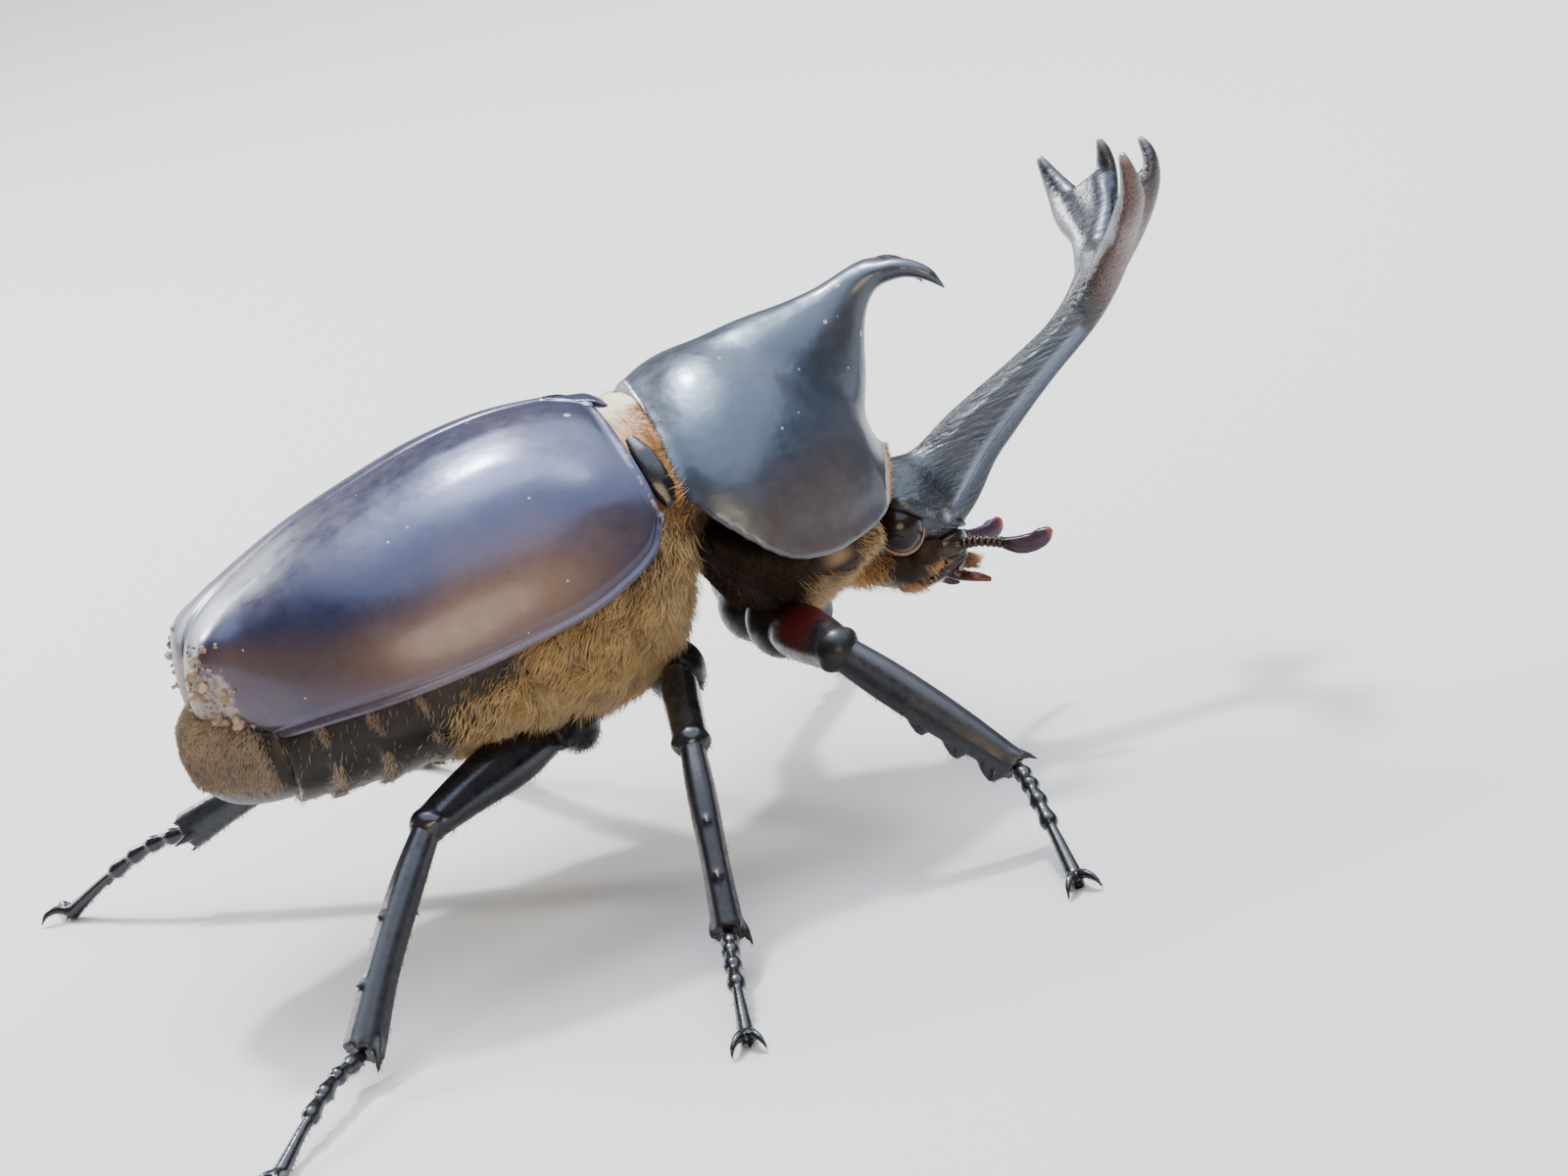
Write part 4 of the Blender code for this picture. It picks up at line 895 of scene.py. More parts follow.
def shin(sizes, knee, ankle, across, side):
    """A fluted tibia with outer teeth and a crown of end spurs."""
    thin, middle, wide = sizes["shin"]
    along = unit(ankle - knee)
    length = np.linalg.norm(ankle - knee)
    outer = np.cross(across, along)
    outer = outer if outer @ (UP + 0.6 * side * LEFT) > 0 else -outer
    path = [knee + t * (ankle - knee) + 0.35 * np.sin(np.pi * t) * outer
            for t in (0.03, 0.3, 0.65, 1.0)]
    broad, deep = sizes["flat"]
    thick = [(broad * thin, deep * thin), (broad * middle, deep * middle),
             (0.95 * broad * middle, 1.05 * deep * middle), (0.83 * broad * wide, deep * wide)]
    ring = oval(60, 2.2)
    turn = np.arctan2(ring[:, 1], ring[:, 0])
    ring = ring * (1 - 0.05 * (0.5 - 0.5 * np.cos(6 * turn)) ** 2)[:, None]
    solids = [sweep(path, thick, across, 70, ring), ball(knee, 0.78 * sizes["knee"])]
    rear = -np.sign(across[0]) * across
    edge, reach = (rear, 0.85 * broad) if broad > 1 else (outer, 0.75)
    for part in sizes["teeth"]:
        size = sizes["tooth"] * (0.7 + 0.4 * part) + 0.3
        root = knee + part * length * along + reach * middle * edge
        way = unit(edge + 0.8 * along)
        solids.append(spindle(root - 0.5 * way, root + size * way, [0.62, 0.52, 0.3, 0.08],
                              bend=-0.12 * size * along))
        solids.append(spindle(root + 0.3 * along + 0.2 * way, root + 1.1 * along - 0.2 * edge,
                              [0.55, 0.3, 0.1]))
    end = ankle - 0.55 * along
    for turn, size in SPURS:
        rim = np.cos(np.pi * turn) * outer + np.sin(np.pi * turn) * across
        way = unit(along + 0.35 * rim)
        root = end + 0.62 * wide * rim
        solids.append(spindle(root - 0.5 * way, root + size * way, [0.36, 0.3, 0.2, 0.07],
                              bend=0.08 * rim))
    for turn in np.linspace(0, 2, 14, endpoint=False):
        rim = np.cos(np.pi * turn) * outer + np.sin(np.pi * turn) * across * 0.8
        root = end + 0.8 * wide * rim
        solids.append(spindle(root - 0.1 * along, root + 0.85 * along, [0.12, 0.1, 0.05], sides=8))
    return fuse(solids, CELL["tibia"], 3, 0.8)


def tarsus(knee, ankle, foot, across):
    """Five foot segments, each flared at its end, and a pair of hooked claws."""
    start = ankle + 0.15 * unit(ankle - knee)
    lift = 0.7 * UP
    route = smooth([start, start + 0.3 * (foot - start) + lift,
                    start + 0.65 * (foot - start) + 0.8 * lift, foot], 61)
    solids = []
    for first, last in zip(TARSUS_JOINTS[:-1], TARSUS_JOINTS[1:]):
        stretch = route[int(60 * first):int(60 * last) + 2]
        path = [stretch[int(round(t * (len(stretch) - 1)))] for t in (0, 0.35, 0.75, 1)]
        long = last - first > 0.3
        radii = [0.32, 0.38, 0.46, 0.54] if long else [0.34, 0.44, 0.58, 0.46]
        solids.append(sweep(path, radii, across, 22, oval(22)))
        way = unit(path[-1] - path[-2])
        for turn in (-1, 0, 1):
            root = path[-1] + 0.3 * turn * np.cross(way, UP) - 0.3 * UP * (turn == 0)
            solids.append(spindle(root, root + 0.75 * way - 0.25 * UP, [0.11, 0.09, 0.04], sides=8))
    forward = unit((foot - ankle) * (1.0, 1.0, 0.0))
    wide = np.cross(UP, forward)
    for turn in (-1, 1):
        out = np.cos(CLAW_SPREAD) * forward + turn * np.sin(CLAW_SPREAD) * wide
        path = [foot - 0.4 * forward + 0.13 * turn * wide]
        for share, height in ((0.35, 0.42), (0.75, 0.25), (1.0, -0.42)):
            path.append(foot + share * CLAW_LENGTH * out + height * UP)
        solids.append(sweep(path, [0.36, 0.3, 0.19, 0.05], UP, 24, oval(16)))
    solids.append(spindle(foot, foot + 0.9 * forward + 0.1 * UP, [0.2, 0.14, 0.06]))
    points, faces = fuse(solids, CELL["tarsus"], 3, 0.8)
    points[:, 2] = np.maximum(points[:, 2], 0.0)
    return points, faces


# Hair.

def scatter(solid, count, chance, seed):
    """Random places on a mesh with their normals, kept where chance says."""
    points, faces = solid
    rng = np.random.default_rng(seed)
    quads = np.asarray(faces)
    normals = normals_of(points, faces)
    area = np.linalg.norm(quad_normals(points, quads), axis=1)
    centres = points[quads].mean(axis=1)
    share = area * np.clip(chance(centres, normals[quads[:, 0]]), 0, 1)
    pick = rng.choice(len(quads), count, p=share / share.sum())
    u, v = rng.random((2, count, 1))
    corners = quads[pick].T
    weights = [(1 - u) * (1 - v), u * (1 - v), u * v, (1 - u) * v]
    place = sum(w * points[c] for w, c in zip(weights, corners))
    normal = unit(sum(w * normals[c] for w, c in zip(weights, corners)))
    low, high = points.min(axis=0), points.max(axis=0)
    middle = (low + high) / 2
    long = int(np.argmax(high - low))
    a, b = [axis for axis in range(3) if axis != long]
    turn = np.arctan2(place[:, b] - middle[b], place[:, a] - middle[a]) / (2 * np.pi) + 0.5
    unwrap = np.stack([(place[:, long] - low[long]) / (high[long] - low[long]), turn], 1)
    return place, normal, UNWRAP_EDGE + (1 - 2 * UNWRAP_EDGE) * unwrap


def coat(name, batches, finish, on_body=True, seed=5):
    """Hairs as thin solid cones in one mesh. Each batch is a dict of its roots and looks."""
    rng = np.random.default_rng(seed)
    leanings = np.random.default_rng(seed + 10).normal(size=(TUFT_LOTS, 3)) * 0.35
    all_points, shades, alongs, unwraps = [], [], [], []
    for batch in batches:
        root, normal, unwrap = batch["roots"]
        count = len(root)
        way = np.broadcast_to(np.asarray(batch["way"], float), (count, 3))
        way = way + batch.get("stray", 0.25) * rng.normal(size=(count, 3))
        flat = unit(way - (way * normal).sum(1, keepdims=True) * normal)
        length = batch["length"] * rng.uniform(0.6, 1.15, (count, 1))
        lift = batch["lift"] * rng.uniform(0.6, 1.4, (count, 1))
        first = unit(flat + lift * 1.6 * normal)
        second = unit(flat + lift * 0.5 * normal + batch.get("droop", 0.0) * -UP)
        cell = np.round(root / batch.get("tuft", 0.8)).astype(int)
        key = (cell * TUFT_STEPS).sum(1) % TUFT_LOTS
        second = unit(second + leanings[key] * batch["messy"])
        middle = root + 0.5 * length * first
        tip = middle + 0.5 * length * second
        width = batch["width"] * rng.uniform(0.7, 1.2, (count, 1))
        side = unit(np.cross(first, normal) + 0.01)
        high = np.cross(first, side)
        rings = []
        for place, size in ((root - ROOT_DEPTH * normal, 1.0), (middle, 0.75)):
            for k in range(3):
                angle = 2 * np.pi * k / 3
                around = np.cos(angle) * side + np.sin(angle) * high
                rings.append(place + size * width * around)
        rings.append(tip)
        all_points.append(np.stack(rings, 1))
        shade = np.clip(0.5 + 0.22 * rng.normal(size=count) + 0.3 * leanings[key, 0], 0, 1)
        shades.append(np.repeat(shade[:, None], HAIR_POINTS, 1))
        alongs.append(np.tile([0, 0, 0, 0.5, 0.5, 0.5, 1.0], (count, 1)))
        patch = [(-1, -1), (0, -1), (1, -1), (-1, 0), (0, 0), (1, 0), (0, 1)]
        unwraps.append(unwrap[:, None] + HAIR_PATCH * np.array(patch))
    points = np.concatenate(all_points)
    if not on_body:
        points[:, :, 2] = np.maximum(points[:, :, 2], LOWEST_HAIR)
    count = len(points)
    quads = np.array([(0, 1, 4, 3), (1, 2, 5, 4), (2, 0, 3, 5)])
    triangles = np.array([(3, 4, 6), (4, 5, 6), (5, 3, 6), (0, 2, 1)])
    offset = HAIR_POINTS * np.arange(count)[:, None, None]
    faces = (offset + quads).reshape(-1, 4).tolist() + (offset + triangles).reshape(-1, 3).tolist()
    marks = {"shade": np.concatenate(shades).ravel(), "along": np.concatenate(alongs).ravel()}
    obj = piece(name, (points.reshape(-1, 3), faces), finish, (), marks, on_body)
    layer = obj.data.uv_layers.new(name="OFBake")
    corners = np.zeros(len(obj.data.loops), int)
    obj.data.loops.foreach_get("vertex_index", corners)
    layer.data.foreach_set("uv", np.concatenate(unwraps).reshape(-1, 2)[corners].ravel())


def along_line(line, count, normal, spread, seed):
    """Hair roots along a line, with a made-up unwrap. Normal is a function of the roots."""
    rng = np.random.default_rng(seed)
    line = np.asarray(line, float)
    reach = np.concatenate([[0], np.cumsum(np.linalg.norm(np.diff(line, axis=0), axis=1))])
    place = np.interp(rng.uniform(0, reach[-1], count), reach, np.arange(len(line)))
    start = np.minimum(place.astype(int), len(line) - 2)
    part = (place - start)[:, None]
    root = (1 - part) * line[start] + part * line[start + 1] + spread * rng.normal(size=(count, 3))
    share = UNWRAP_EDGE + (1 - 2 * UNWRAP_EDGE) * place / (len(line) - 1)
    unwrap = np.stack([share, rng.uniform(2 * UNWRAP_EDGE, 1 - 2 * UNWRAP_EDGE, count)], 1)
    return root, unit(normal(root)), unwrap


# Materials.

class Finish:
    """A material in the making: its shader, its colour and bump so far, and its nodes."""

    def __init__(self, name, **values):
        self.material = bpy.data.materials.new(name)
        self.material.use_nodes = True
        self.tree = self.material.node_tree
        self.shader = self.tree.nodes["Principled BSDF"]
        for key, value in values.items():
            self.shader.inputs[key.replace("_", " ")].default_value = value
        self.place = self.node("Attribute", "Vector", attribute_name="body")
        self.colour = None
        self.normal = None

    def node(self, kind, output, inputs=None, **settings):
        """An output of a new node. An input that is a socket is linked, any other is set."""
        made = self.tree.nodes.new("ShaderNode" + kind)
        for key, value in settings.items():
            setattr(made, key, value)
        for key, value in (inputs or {}).items():
            if isinstance(value, bpy.types.NodeSocket):
                self.tree.links.new(value, made.inputs[key])
            else:
                made.inputs[key].default_value = value
        return made.outputs[output]

    def mark(self, name):
        """A value that a piece stores at its points."""
        return self.node("Attribute", "Fac", attribute_name=name)

    def maths(self, operation, first, second):
        """An operation on two values."""
        return self.node("Math", 0, {0: first, 1: second}, operation=operation)

    def times(self, first, second):
        """The product of two values."""
        return self.maths("MULTIPLY", first, second)

    def span(self, value, low, high, to_low=0.0, to_high=1.0):
        """A value stretched from one range to another and clamped."""
        return self.node("MapRange", "Result", {"Value": value, "From Min": low, "From Max": high,
                                                "To Min": to_low, "To Max": to_high})

    def noise(self, scale, detail=3.0, rough=0.55, place=None):
        """Cloudy noise over the body's millimetres, or over another place."""
        place = self.place if place is None else place
        return self.node("TexNoise", "Fac", {"Vector": place, "Scale": scale, "Detail": detail,
                                             "Roughness": rough})

    def cells(self, scale, output="Distance"):
        """A pattern of cells: the distance to their middles, or their random colours."""
        return self.node("TexVoronoi", output, {"Vector": self.place, "Scale": scale})

    def mix(self, share, first, second):
        """A mix of two colours, by a value or by the name of a mark."""
        share = self.mark(share) if isinstance(share, str) else share
        first, second = [tint if isinstance(tint, bpy.types.NodeSocket) else (*tint, 1.0)
                         for tint in (first, second)]
        return self.node("Mix", 2, {0: share, 6: first, 7: second}, data_type="RGBA")

    def over(self, share, tint):
        """Lays a colour over the one so far."""
        self.colour = self.mix(share, self.colour, tint)

    def bump(self, height, strength, distance):
        """Adds bump from a height value over the bump so far."""
        inputs = {"Height": height, "Strength": strength, "Distance": distance * MM}
        if self.normal is not None:
            inputs["Normal"] = self.normal
        self.normal = self.node("Bump", "Normal", inputs)

    def done(self, rough=None):
        """The material, once its colour, bump and roughness are linked to the shader."""
        for key, value in (("Base Color", self.colour), ("Normal", self.normal), ("Roughness", rough)):
            if value is not None:
                self.tree.links.new(value, self.shader.inputs[key])
        return self.material


def shell(name, deep, warm, sheen, roughness, pits, specks, waves, coat_weight, ior):
    """Polished horn-like shell with pits, specks of dust, dirt and worn rims. Its bluish base, its
    blue-violet reflection tint and its brown warm colour on the lower flanks are painted reflections.
    """
    # The sheen colour tints every reflection blue-violet: a painted sky reflection.
    made = Finish(name, IOR=ior, Coat_Weight=coat_weight, Coat_Roughness=0.12, Coat_IOR=1.5,
                  Specular_Tint=sheen)
    # Deep is a near-black base with a painted blue-violet cast. Warm is a painted brown reflection,
    # laid on by the warm mark, and random patches of it mottle the whole shell.
    made.colour = made.mix("warm", deep, warm)
    made.over(made.span(made.noise(0.22), 0.45, 0.8, 0.0, 0.12), [1.5 * part for part in warm])
    worn = made.span(made.noise(1.4), 0.4, 0.7, 0.05, 0.3)
    made.over(made.times(made.mark("rim"), worn), (0.16, 0.15, 0.16))
    smear = made.times(made.mark("dirt"), made.noise(1.8, 6.0, 0.75))
    pale = made.span(smear, 0.34, 0.46, 0.0, 0.8)
    for scale, least, most in ((specks, 0.55, 0.12), (2.3 * specks, 0.72, 0.11)):
        lot = made.node("SeparateColor", 0, {0: made.cells(scale, "Color")})
        speck = made.maths("LESS_THAN", made.cells(scale), made.span(lot, least, 1.0, 0.0, most))
        pale = made.maths("MAXIMUM", pale, speck)
    made.over(pale, (0.36, 0.30, 0.23))
    made.bump(made.span(made.cells(pits), 0.0, 0.22), 0.14, 0.02)
    made.bump(made.noise(5.0), 0.12, 0.02)
    made.bump(made.noise(0.5, 2.0), waves, 0.25)
    made.bump(pale, 0.5, 0.03)
    smudge = made.span(made.noise(0.8, 5.0, 0.65), 0.35, 0.7, 0.85 * roughness, 1.25 * roughness)
    return made.done(made.maths("ADD", smudge, made.times(pale, 0.45)))


def horn_material():
    """The head's shell: wrinkled along the horn, grainy in front, pale at the tips. A blue band by the
    ridges, pale blue-white lines and spots, and a bluish reflection tint are painted reflections and
    highlights.
    """
    # The bluish specular tint is a painted sky reflection.
    made = Finish("horn_shell", IOR=1.6, Coat_Weight=0.10, Coat_Roughness=0.15,
                  Specular_Tint=(0.76, 0.86, 1.0, 1.0))
    along = made.node("Mapping", 0, {"Vector": made.place, "Rotation": (0, np.radians(33.0), 0),
                                     "Scale": (0.35, 2.0, 2.6)})
    lines = made.noise(1.5, 4.0, 0.6, along)
    front, strip, shade = made.mark("front"), made.mark("strip"), made.mark("shade")
    made.colour = made.mix(made.span(lines, 0.35, 0.7), (0.006, 0.007, 0.009), (0.022, 0.023, 0.028))
    made.over(shade, (0.006, 0.006, 0.006))
    # Painted reflection: a blue band along the strip mark.
    made.over(strip, (0.060, 0.085, 0.150))
    made.over(front, (0.012, 0.010, 0.009))
    made.over("warm", (0.075, 0.034, 0.019))
    # Painted highlight: pale blue-white on the ridges and spots of the rim mark.
    made.over(made.times(made.mark("rim"), 0.75), (0.30, 0.36, 0.46))
    made.over("tip", (0.34, 0.31, 0.27))
    plain = made.maths("MAXIMUM", front, strip)
    plain = made.maths("MAXIMUM", plain, made.times(made.mark("club"), 0.85))
    plain = made.maths("MAXIMUM", plain, made.times(shade, 0.72))
    made.bump(made.times(lines, made.maths("SUBTRACT", 1.0, plain)), 1.0, 0.45)
    made.bump(made.times(front, made.span(made.cells(4.2), 0.0, 0.5)), 0.9, 0.14)
    made.bump(made.noise(7.0, 2.0), 0.25, 0.02)
    rough = made.span(lines, 0.3, 0.7, 0.18, 0.36)
    return made.done(made.maths("ADD", rough, made.times(front, 0.15)))


def leg_material(name, rough, ior, red=0.0):
    """Black limb shell with a painted blue tint on its gloss, fine pits and, where wanted, a red-brown
    glow.
    """
    # The bluish specular tint is a painted sky reflection.
    made = Finish(name, IOR=ior, Coat_Weight=0.1, Coat_Roughness=0.15,
                  Specular_Tint=(0.80, 0.88, 1.0, 1.0))
    cloud = made.span(made.noise(0.9, 4.0), 0.4, 0.7)
    made.colour = made.mix(cloud, (0.004, 0.004, 0.005), (0.014, 0.010, 0.010))
    made.over(made.times(made.mark("warm"), red), (0.052, 0.003, 0.003))
    made.bump(made.span(made.cells(1.9), 0.0, 0.25), 0.15, 0.03)
    made.bump(made.noise(2.5, 4.0), 0.2, 0.06)
    return made.done(made.span(made.noise(2.2, 4.0), 0.3, 0.7, 0.7 * rough, 1.4 * rough))


def brown_material():
    """Red-brown shell of feelers and mouth, orange at the tips and violet on the club: partly the
    club's own purple-brown, partly a painted blue-violet sheen.
    """
    made = Finish("brown_shell", IOR=1.4, Coat_Weight=0.15, Coat_Roughness=0.1)
    made.colour = made.mix(made.noise(2.0, 4.0), (0.005, 0.002, 0.001), (0.026, 0.009, 0.006))
    # Partly own colour, partly painted sheen: violet over the whole club.
    made.over("club", (0.040, 0.018, 0.036))
    made.over("tip", (0.40, 0.06, 0.012))
    made.bump(made.noise(6.0), 0.2, 0.02)
    made.bump(made.noise(1.6, 2.0), 0.2, 0.08)
    return made.done(made.span(made.noise(3.0), 0.3, 0.7, 0.2, 0.36))


def eye_material():
    """A dark glossy eye with fine facets and a brown glow above."""
    made = Finish("eye_gloss", IOR=1.3, Coat_Weight=0.1, Coat_Roughness=0.04)
    facets = made.cells(9.0)
    made.colour = made.mix(made.noise(0.8, 2.0), (0.004, 0.003, 0.003), (0.014, 0.007, 0.005))
    made.over("warm", (0.026, 0.013, 0.008))
    made.bump(facets, 0.12, 0.02)
    return made.done(made.span(facets, 0.0, 0.6, 0.14, 0.24))


def rim_material():
    """The pale brown rim below an eye."""
    made = Finish("eye_rim_finish", IOR=1.5, Coat_Weight=0.1)
    cloud = made.noise(2.5, 4.0)
    made.colour = made.mix(cloud, (0.02, 0.009, 0.005), (0.30, 0.17, 0.09))
    made.bump(made.noise(5.0), 0.3, 0.03)
    return made.done(made.span(cloud, 0.3, 0.7, 0.3, 0.5))


def membrane_material():
    """Thin folded skin: pale on top and orange down the sides, with painted shade making it brown low
    down.
    """
    made = Finish("membrane_finish", IOR=1.45)
    folds = made.noise(1.3, 6.0, 0.7)
    made.colour = made.mix(folds, (0.50, 0.38, 0.24), (0.78, 0.70, 0.56))
    made.over("warm", (0.42, 0.20, 0.06))
    # Painted shade: dark brown low down, by the shade mark.
    made.over("shade", (0.07, 0.035, 0.015))
    made.bump(folds, 0.6, 0.15)
    return made.done(made.span(folds, 0.3, 0.7, 0.4, 0.65))


def skin_material(name, dark, light, roughness, ior=1.33):
    """Leathery body skin under the hair."""
    made = Finish(name, IOR=ior)
    made.colour = made.mix(made.span(made.noise(0.7, 6.0, 0.65), 0.35, 0.7), dark, light)
    made.over("warm", (0.42, 0.29, 0.17))
    made.bump(made.noise(3.0, 5.0), 0.4, 0.1)
    return made.done(made.span(made.noise(2.0), 0.3, 0.7, 0.8 * roughness, 1.2 * roughness))


def hair_material(name, root, mid, tip, ior=1.5, sheen=0.25):
    """Hair that is darker at the root and varies from tuft to tuft."""
    made = Finish(name, Roughness=0.5, IOR=ior, Sheen_Weight=sheen, Sheen_Roughness=0.4)
    patches = made.span(made.noise(0.5), 0.35, 0.7, 0.0, 0.55)
    tint = made.mix(patches, made.mix("shade", mid, tip), root)
    made.colour = made.mix(made.span(made.mark("along"), 0.0, 0.6), root, tint)
    made.bump(made.noise(14.0, 2.0), 0.2, 0.01)
    return made.done()


# The whole animal.

def paired_pieces(wings, brown, limb):
    """The shells of each side. Gives back coarse wing cases, to cut the body with."""
    gloss, rim = eye_material(), rim_material()
    dried = skin_material("dried_dirt", (0.17, 0.12, 0.08), (0.46, 0.37, 0.28), 0.85)
    cutters = []
    for letter, side in SIDES:
        solid, marks = wing_case(side)
        piece("wing_shell_" + letter, solid, wings, ["wing_case_" + letter], marks,
              sharp=50)
        (points, faces), _ = wing_case(side, 40, 24)
        cutters.append((points, faces.tolist()))
        solid, marks = antenna(side)
        piece("feeler_" + letter, turned(solid), brown, ["antenna_" + letter], marks)
        points, faces = ball(mirrored(EYE_PLACE, side), EYE_RADII, 48, 64)
        glow = {"warm": ramp(points[:, 2], -4.4, -3.9) * ramp(points[:, 0], 10.4, 11.4)}
        piece("eyeball_" + letter, turned((points, faces)), gloss, ["eye_" + letter], glow)
        piece("eye_rim_" + letter, turned(eye_rim(side)), rim)
        piece("waist_plate_" + letter, waist_plate(side), limb)
        lumps = DIRT_LUMPS[letter]
        piece("dirt_" + letter, crumbs(side, lumps, 40 + side), dried)
    return cutters


def legs(limb, dark):
    """The six legs with their bristles."""
    dull = leg_material("dull_limb_shell", 0.42, 1.5)
    dim = leg_material("dark_limb_shell", 0.38, 1.3)
    red = leg_material("red_limb_shell", 0.40, 1.33, 0.8)
    finishes = {"coxa": dim, "tibia": dull, ("front", "femur"): red, ("mid", "tibia"): dim}
    for pair, letter in LEGS:
        parts = leg(pair, letter)
        for part, solid in parts.items():
            marks = {}
            if (pair, part) == ("front", "femur"):
                reach = np.linalg.norm(solid[0] - LEGS[(pair, letter)][0], axis=1)
                marks["warm"] = ramp(reach, 1.7, 3.6) * (1 - 0.7 * ramp(reach, 5.0, 8.0))
            finish = finishes.get((pair, part), finishes.get(part, limb))
            piece(f"{pair}_{part}_shell_{letter}", solid, finish,
                  [f"{pair}_{part}_{letter}"], marks, on_body=False)
        leg_hair(pair, letter, parts, dark)


def build():
    """All the pieces of the animal."""
    # Wings and pronotum: the bluish deep colours, the blue-violet sheen tints and the brown warm
    # colours are painted reflections of a blue sky above and a brown surface below.
    wings = shell("wing_shell", (0.013, 0.012, 0.030), (0.118, 0.070, 0.034),
                  (0.52, 0.60, 1.0, 1.0), 0.30, 3.2, 0.42, 0.1, 0.12, 1.68)
    satin = shell("pronotum_shell_finish", (0.010, 0.013, 0.021), (0.052, 0.034, 0.025),
                  (0.56, 0.76, 1.0, 1.0), 0.34, 3.6, 0.55, 0.32, 0.22, 1.75)
    brown = brown_material()
    limb = leg_material("limb_shell", 0.22, 1.5)
    thorax_skin = skin_material("thorax_skin_finish", (0.030, 0.018, 0.010), (0.10, 0.06, 0.03), 0.6)
    chest_skin = skin_material("chest_skin_finish", (0.006, 0.005, 0.004), (0.026, 0.018, 0.013),
                               0.65, 1.2)
    throat_skin = skin_material("throat_skin_finish", (0.006, 0.004, 0.003),
                                (0.028, 0.013, 0.008), 0.4, 1.2)
    plates = skin_material("belly_plate_finish", (0.005, 0.004, 0.004), (0.020, 0.013, 0.010), 0.40)
    golden = hair_material("golden_hair", (0.06, 0.034, 0.013), (0.40, 0.25, 0.09), (0.64, 0.46, 0.20))
    orange = hair_material("orange_hair", (0.08, 0.030, 0.006), (0.46, 0.20, 0.035),
                           (0.74, 0.44, 0.12))
    cream = hair_material("cream_hair", (0.06, 0.038, 0.02), (0.22, 0.145, 0.08), (0.46, 0.35, 0.22))
    dark = hair_material("dark_hair", (0.006, 0.004, 0.003), (0.022, 0.012, 0.007),
                         (0.07, 0.038, 0.018), 1.3, 0.0)

    cutters = paired_pieces(wings, brown, limb)
    shield = scutellum()
    dusty = {"dirt": np.full(len(shield[0]), 0.4)}
    piece("shield", shield, wings, ["scutellum"], dusty)
    solid, marks, hems = pronotum()
    piece("pronotum_shell", solid, satin, ["pronotum", "pronotum_horn"], marks)
    solid, marks = head()
    piece("head_shell", turned(solid), horn_material(), ["head", "head_horn"], marks)
    neck = turned(throat())
    piece("throat", neck, throat_skin)
    solid, marks = mouth()
    piece("mouth", turned(solid), brown, ["mouthparts"], marks)
    collar, marks = waist(cutters)
    piece("waist_membrane", collar, membrane_material(), (), marks)
    thorax = trunk(THORAX_ROWS, cutters)
    piece("thorax_skin", thorax, thorax_skin, ["thorax"])
    abdomen = trunk(belly(), cutters, CELL["belly"], 2)
    piece("belly", abdomen, plates, ["abdomen"])
    tail = trunk(TAIL_ROWS, cutters)
    piece("tail", tail, plates, ["pygidium"])
    chest = trunk(PROSTERNUM_ROWS, [])
    pale = {"warm": 0.5 * bell(chest[0][:, 0], 6.6, 0.9) * ramp(chest[0][:, 2], -5.0, -4.2)}
    piece("chest_skin", chest, chest_skin, ["prosternum"], pale)
    legs(limb, dark)
    thorax_hair(thorax, golden)
    chest_hair(chest, golden, dark)
    belly_hair(abdomen, tail, golden, cream)
    head_hair(neck, collar, hems, orange)


def thorax_hair(thorax, golden):
    """Golden fur on each side of the thorax, below the wing cases."""
    for number, (letter, side) in enumerate(SIDES):
        def flank(p, n):
            low = ramp(-p[:, 2], -2.2, 1.0) * ramp(-p[:, 0], 1.2, 2.4)
            front = 0.7 * ramp(-p[:, 2], -4.6, -3.0) * bell(p[:, 0], -2.4, 1.0)
            return np.maximum(low, front) * (side * p[:, 1] > 0)

        fur = dict(roots=scatter(thorax, HAIRS["thorax"], flank, 1 + number), way=(-1.0, 0.0, -0.55),
                   length=1.7, width=0.030, lift=0.42, droop=0.3, messy=1.1, tuft=1.1)
        coat("thorax_hair_" + letter, [fur], golden, seed=11 + number)


def chest_hair(chest, golden, dark):
    """Dark down behind the front legs as painted shade, and golden fur before and below them."""
    def rear(p, n):
        return ramp(-p[:, 0], -5.5, -3.5) * ramp(-p[:, 2], 0.5, 2.5)

    def front(p, n):
        low = ramp(-p[:, 2] - 0.5 * (p[:, 0] - 5.0), 4.0, 6.0) * ramp(p[:, 0], 3.0, 5.5)
        return np.maximum(low, 0.3 * ramp(p[:, 0], 7.4, 8.4))

    # Painted shade: near-black short hair over the chest behind the front legs.
    down = dict(roots=scatter(chest, HAIRS["chest_shade_down"], rear, 8), way=(0.3, 0.0, -0.9),
                length=0.7, width=0.024, lift=0.3, droop=0.2, messy=0.8)
    coat("chest_shade_down", [down], dark, seed=18)
    fur = dict(roots=scatter(chest, HAIRS["chest"], front, 3), way=(0.5, 0.0, -0.8),
               length=1.1, width=0.026, lift=0.4, droop=0.3, messy=1.0)
    coat("chest_hair", [fur], golden, seed=13)


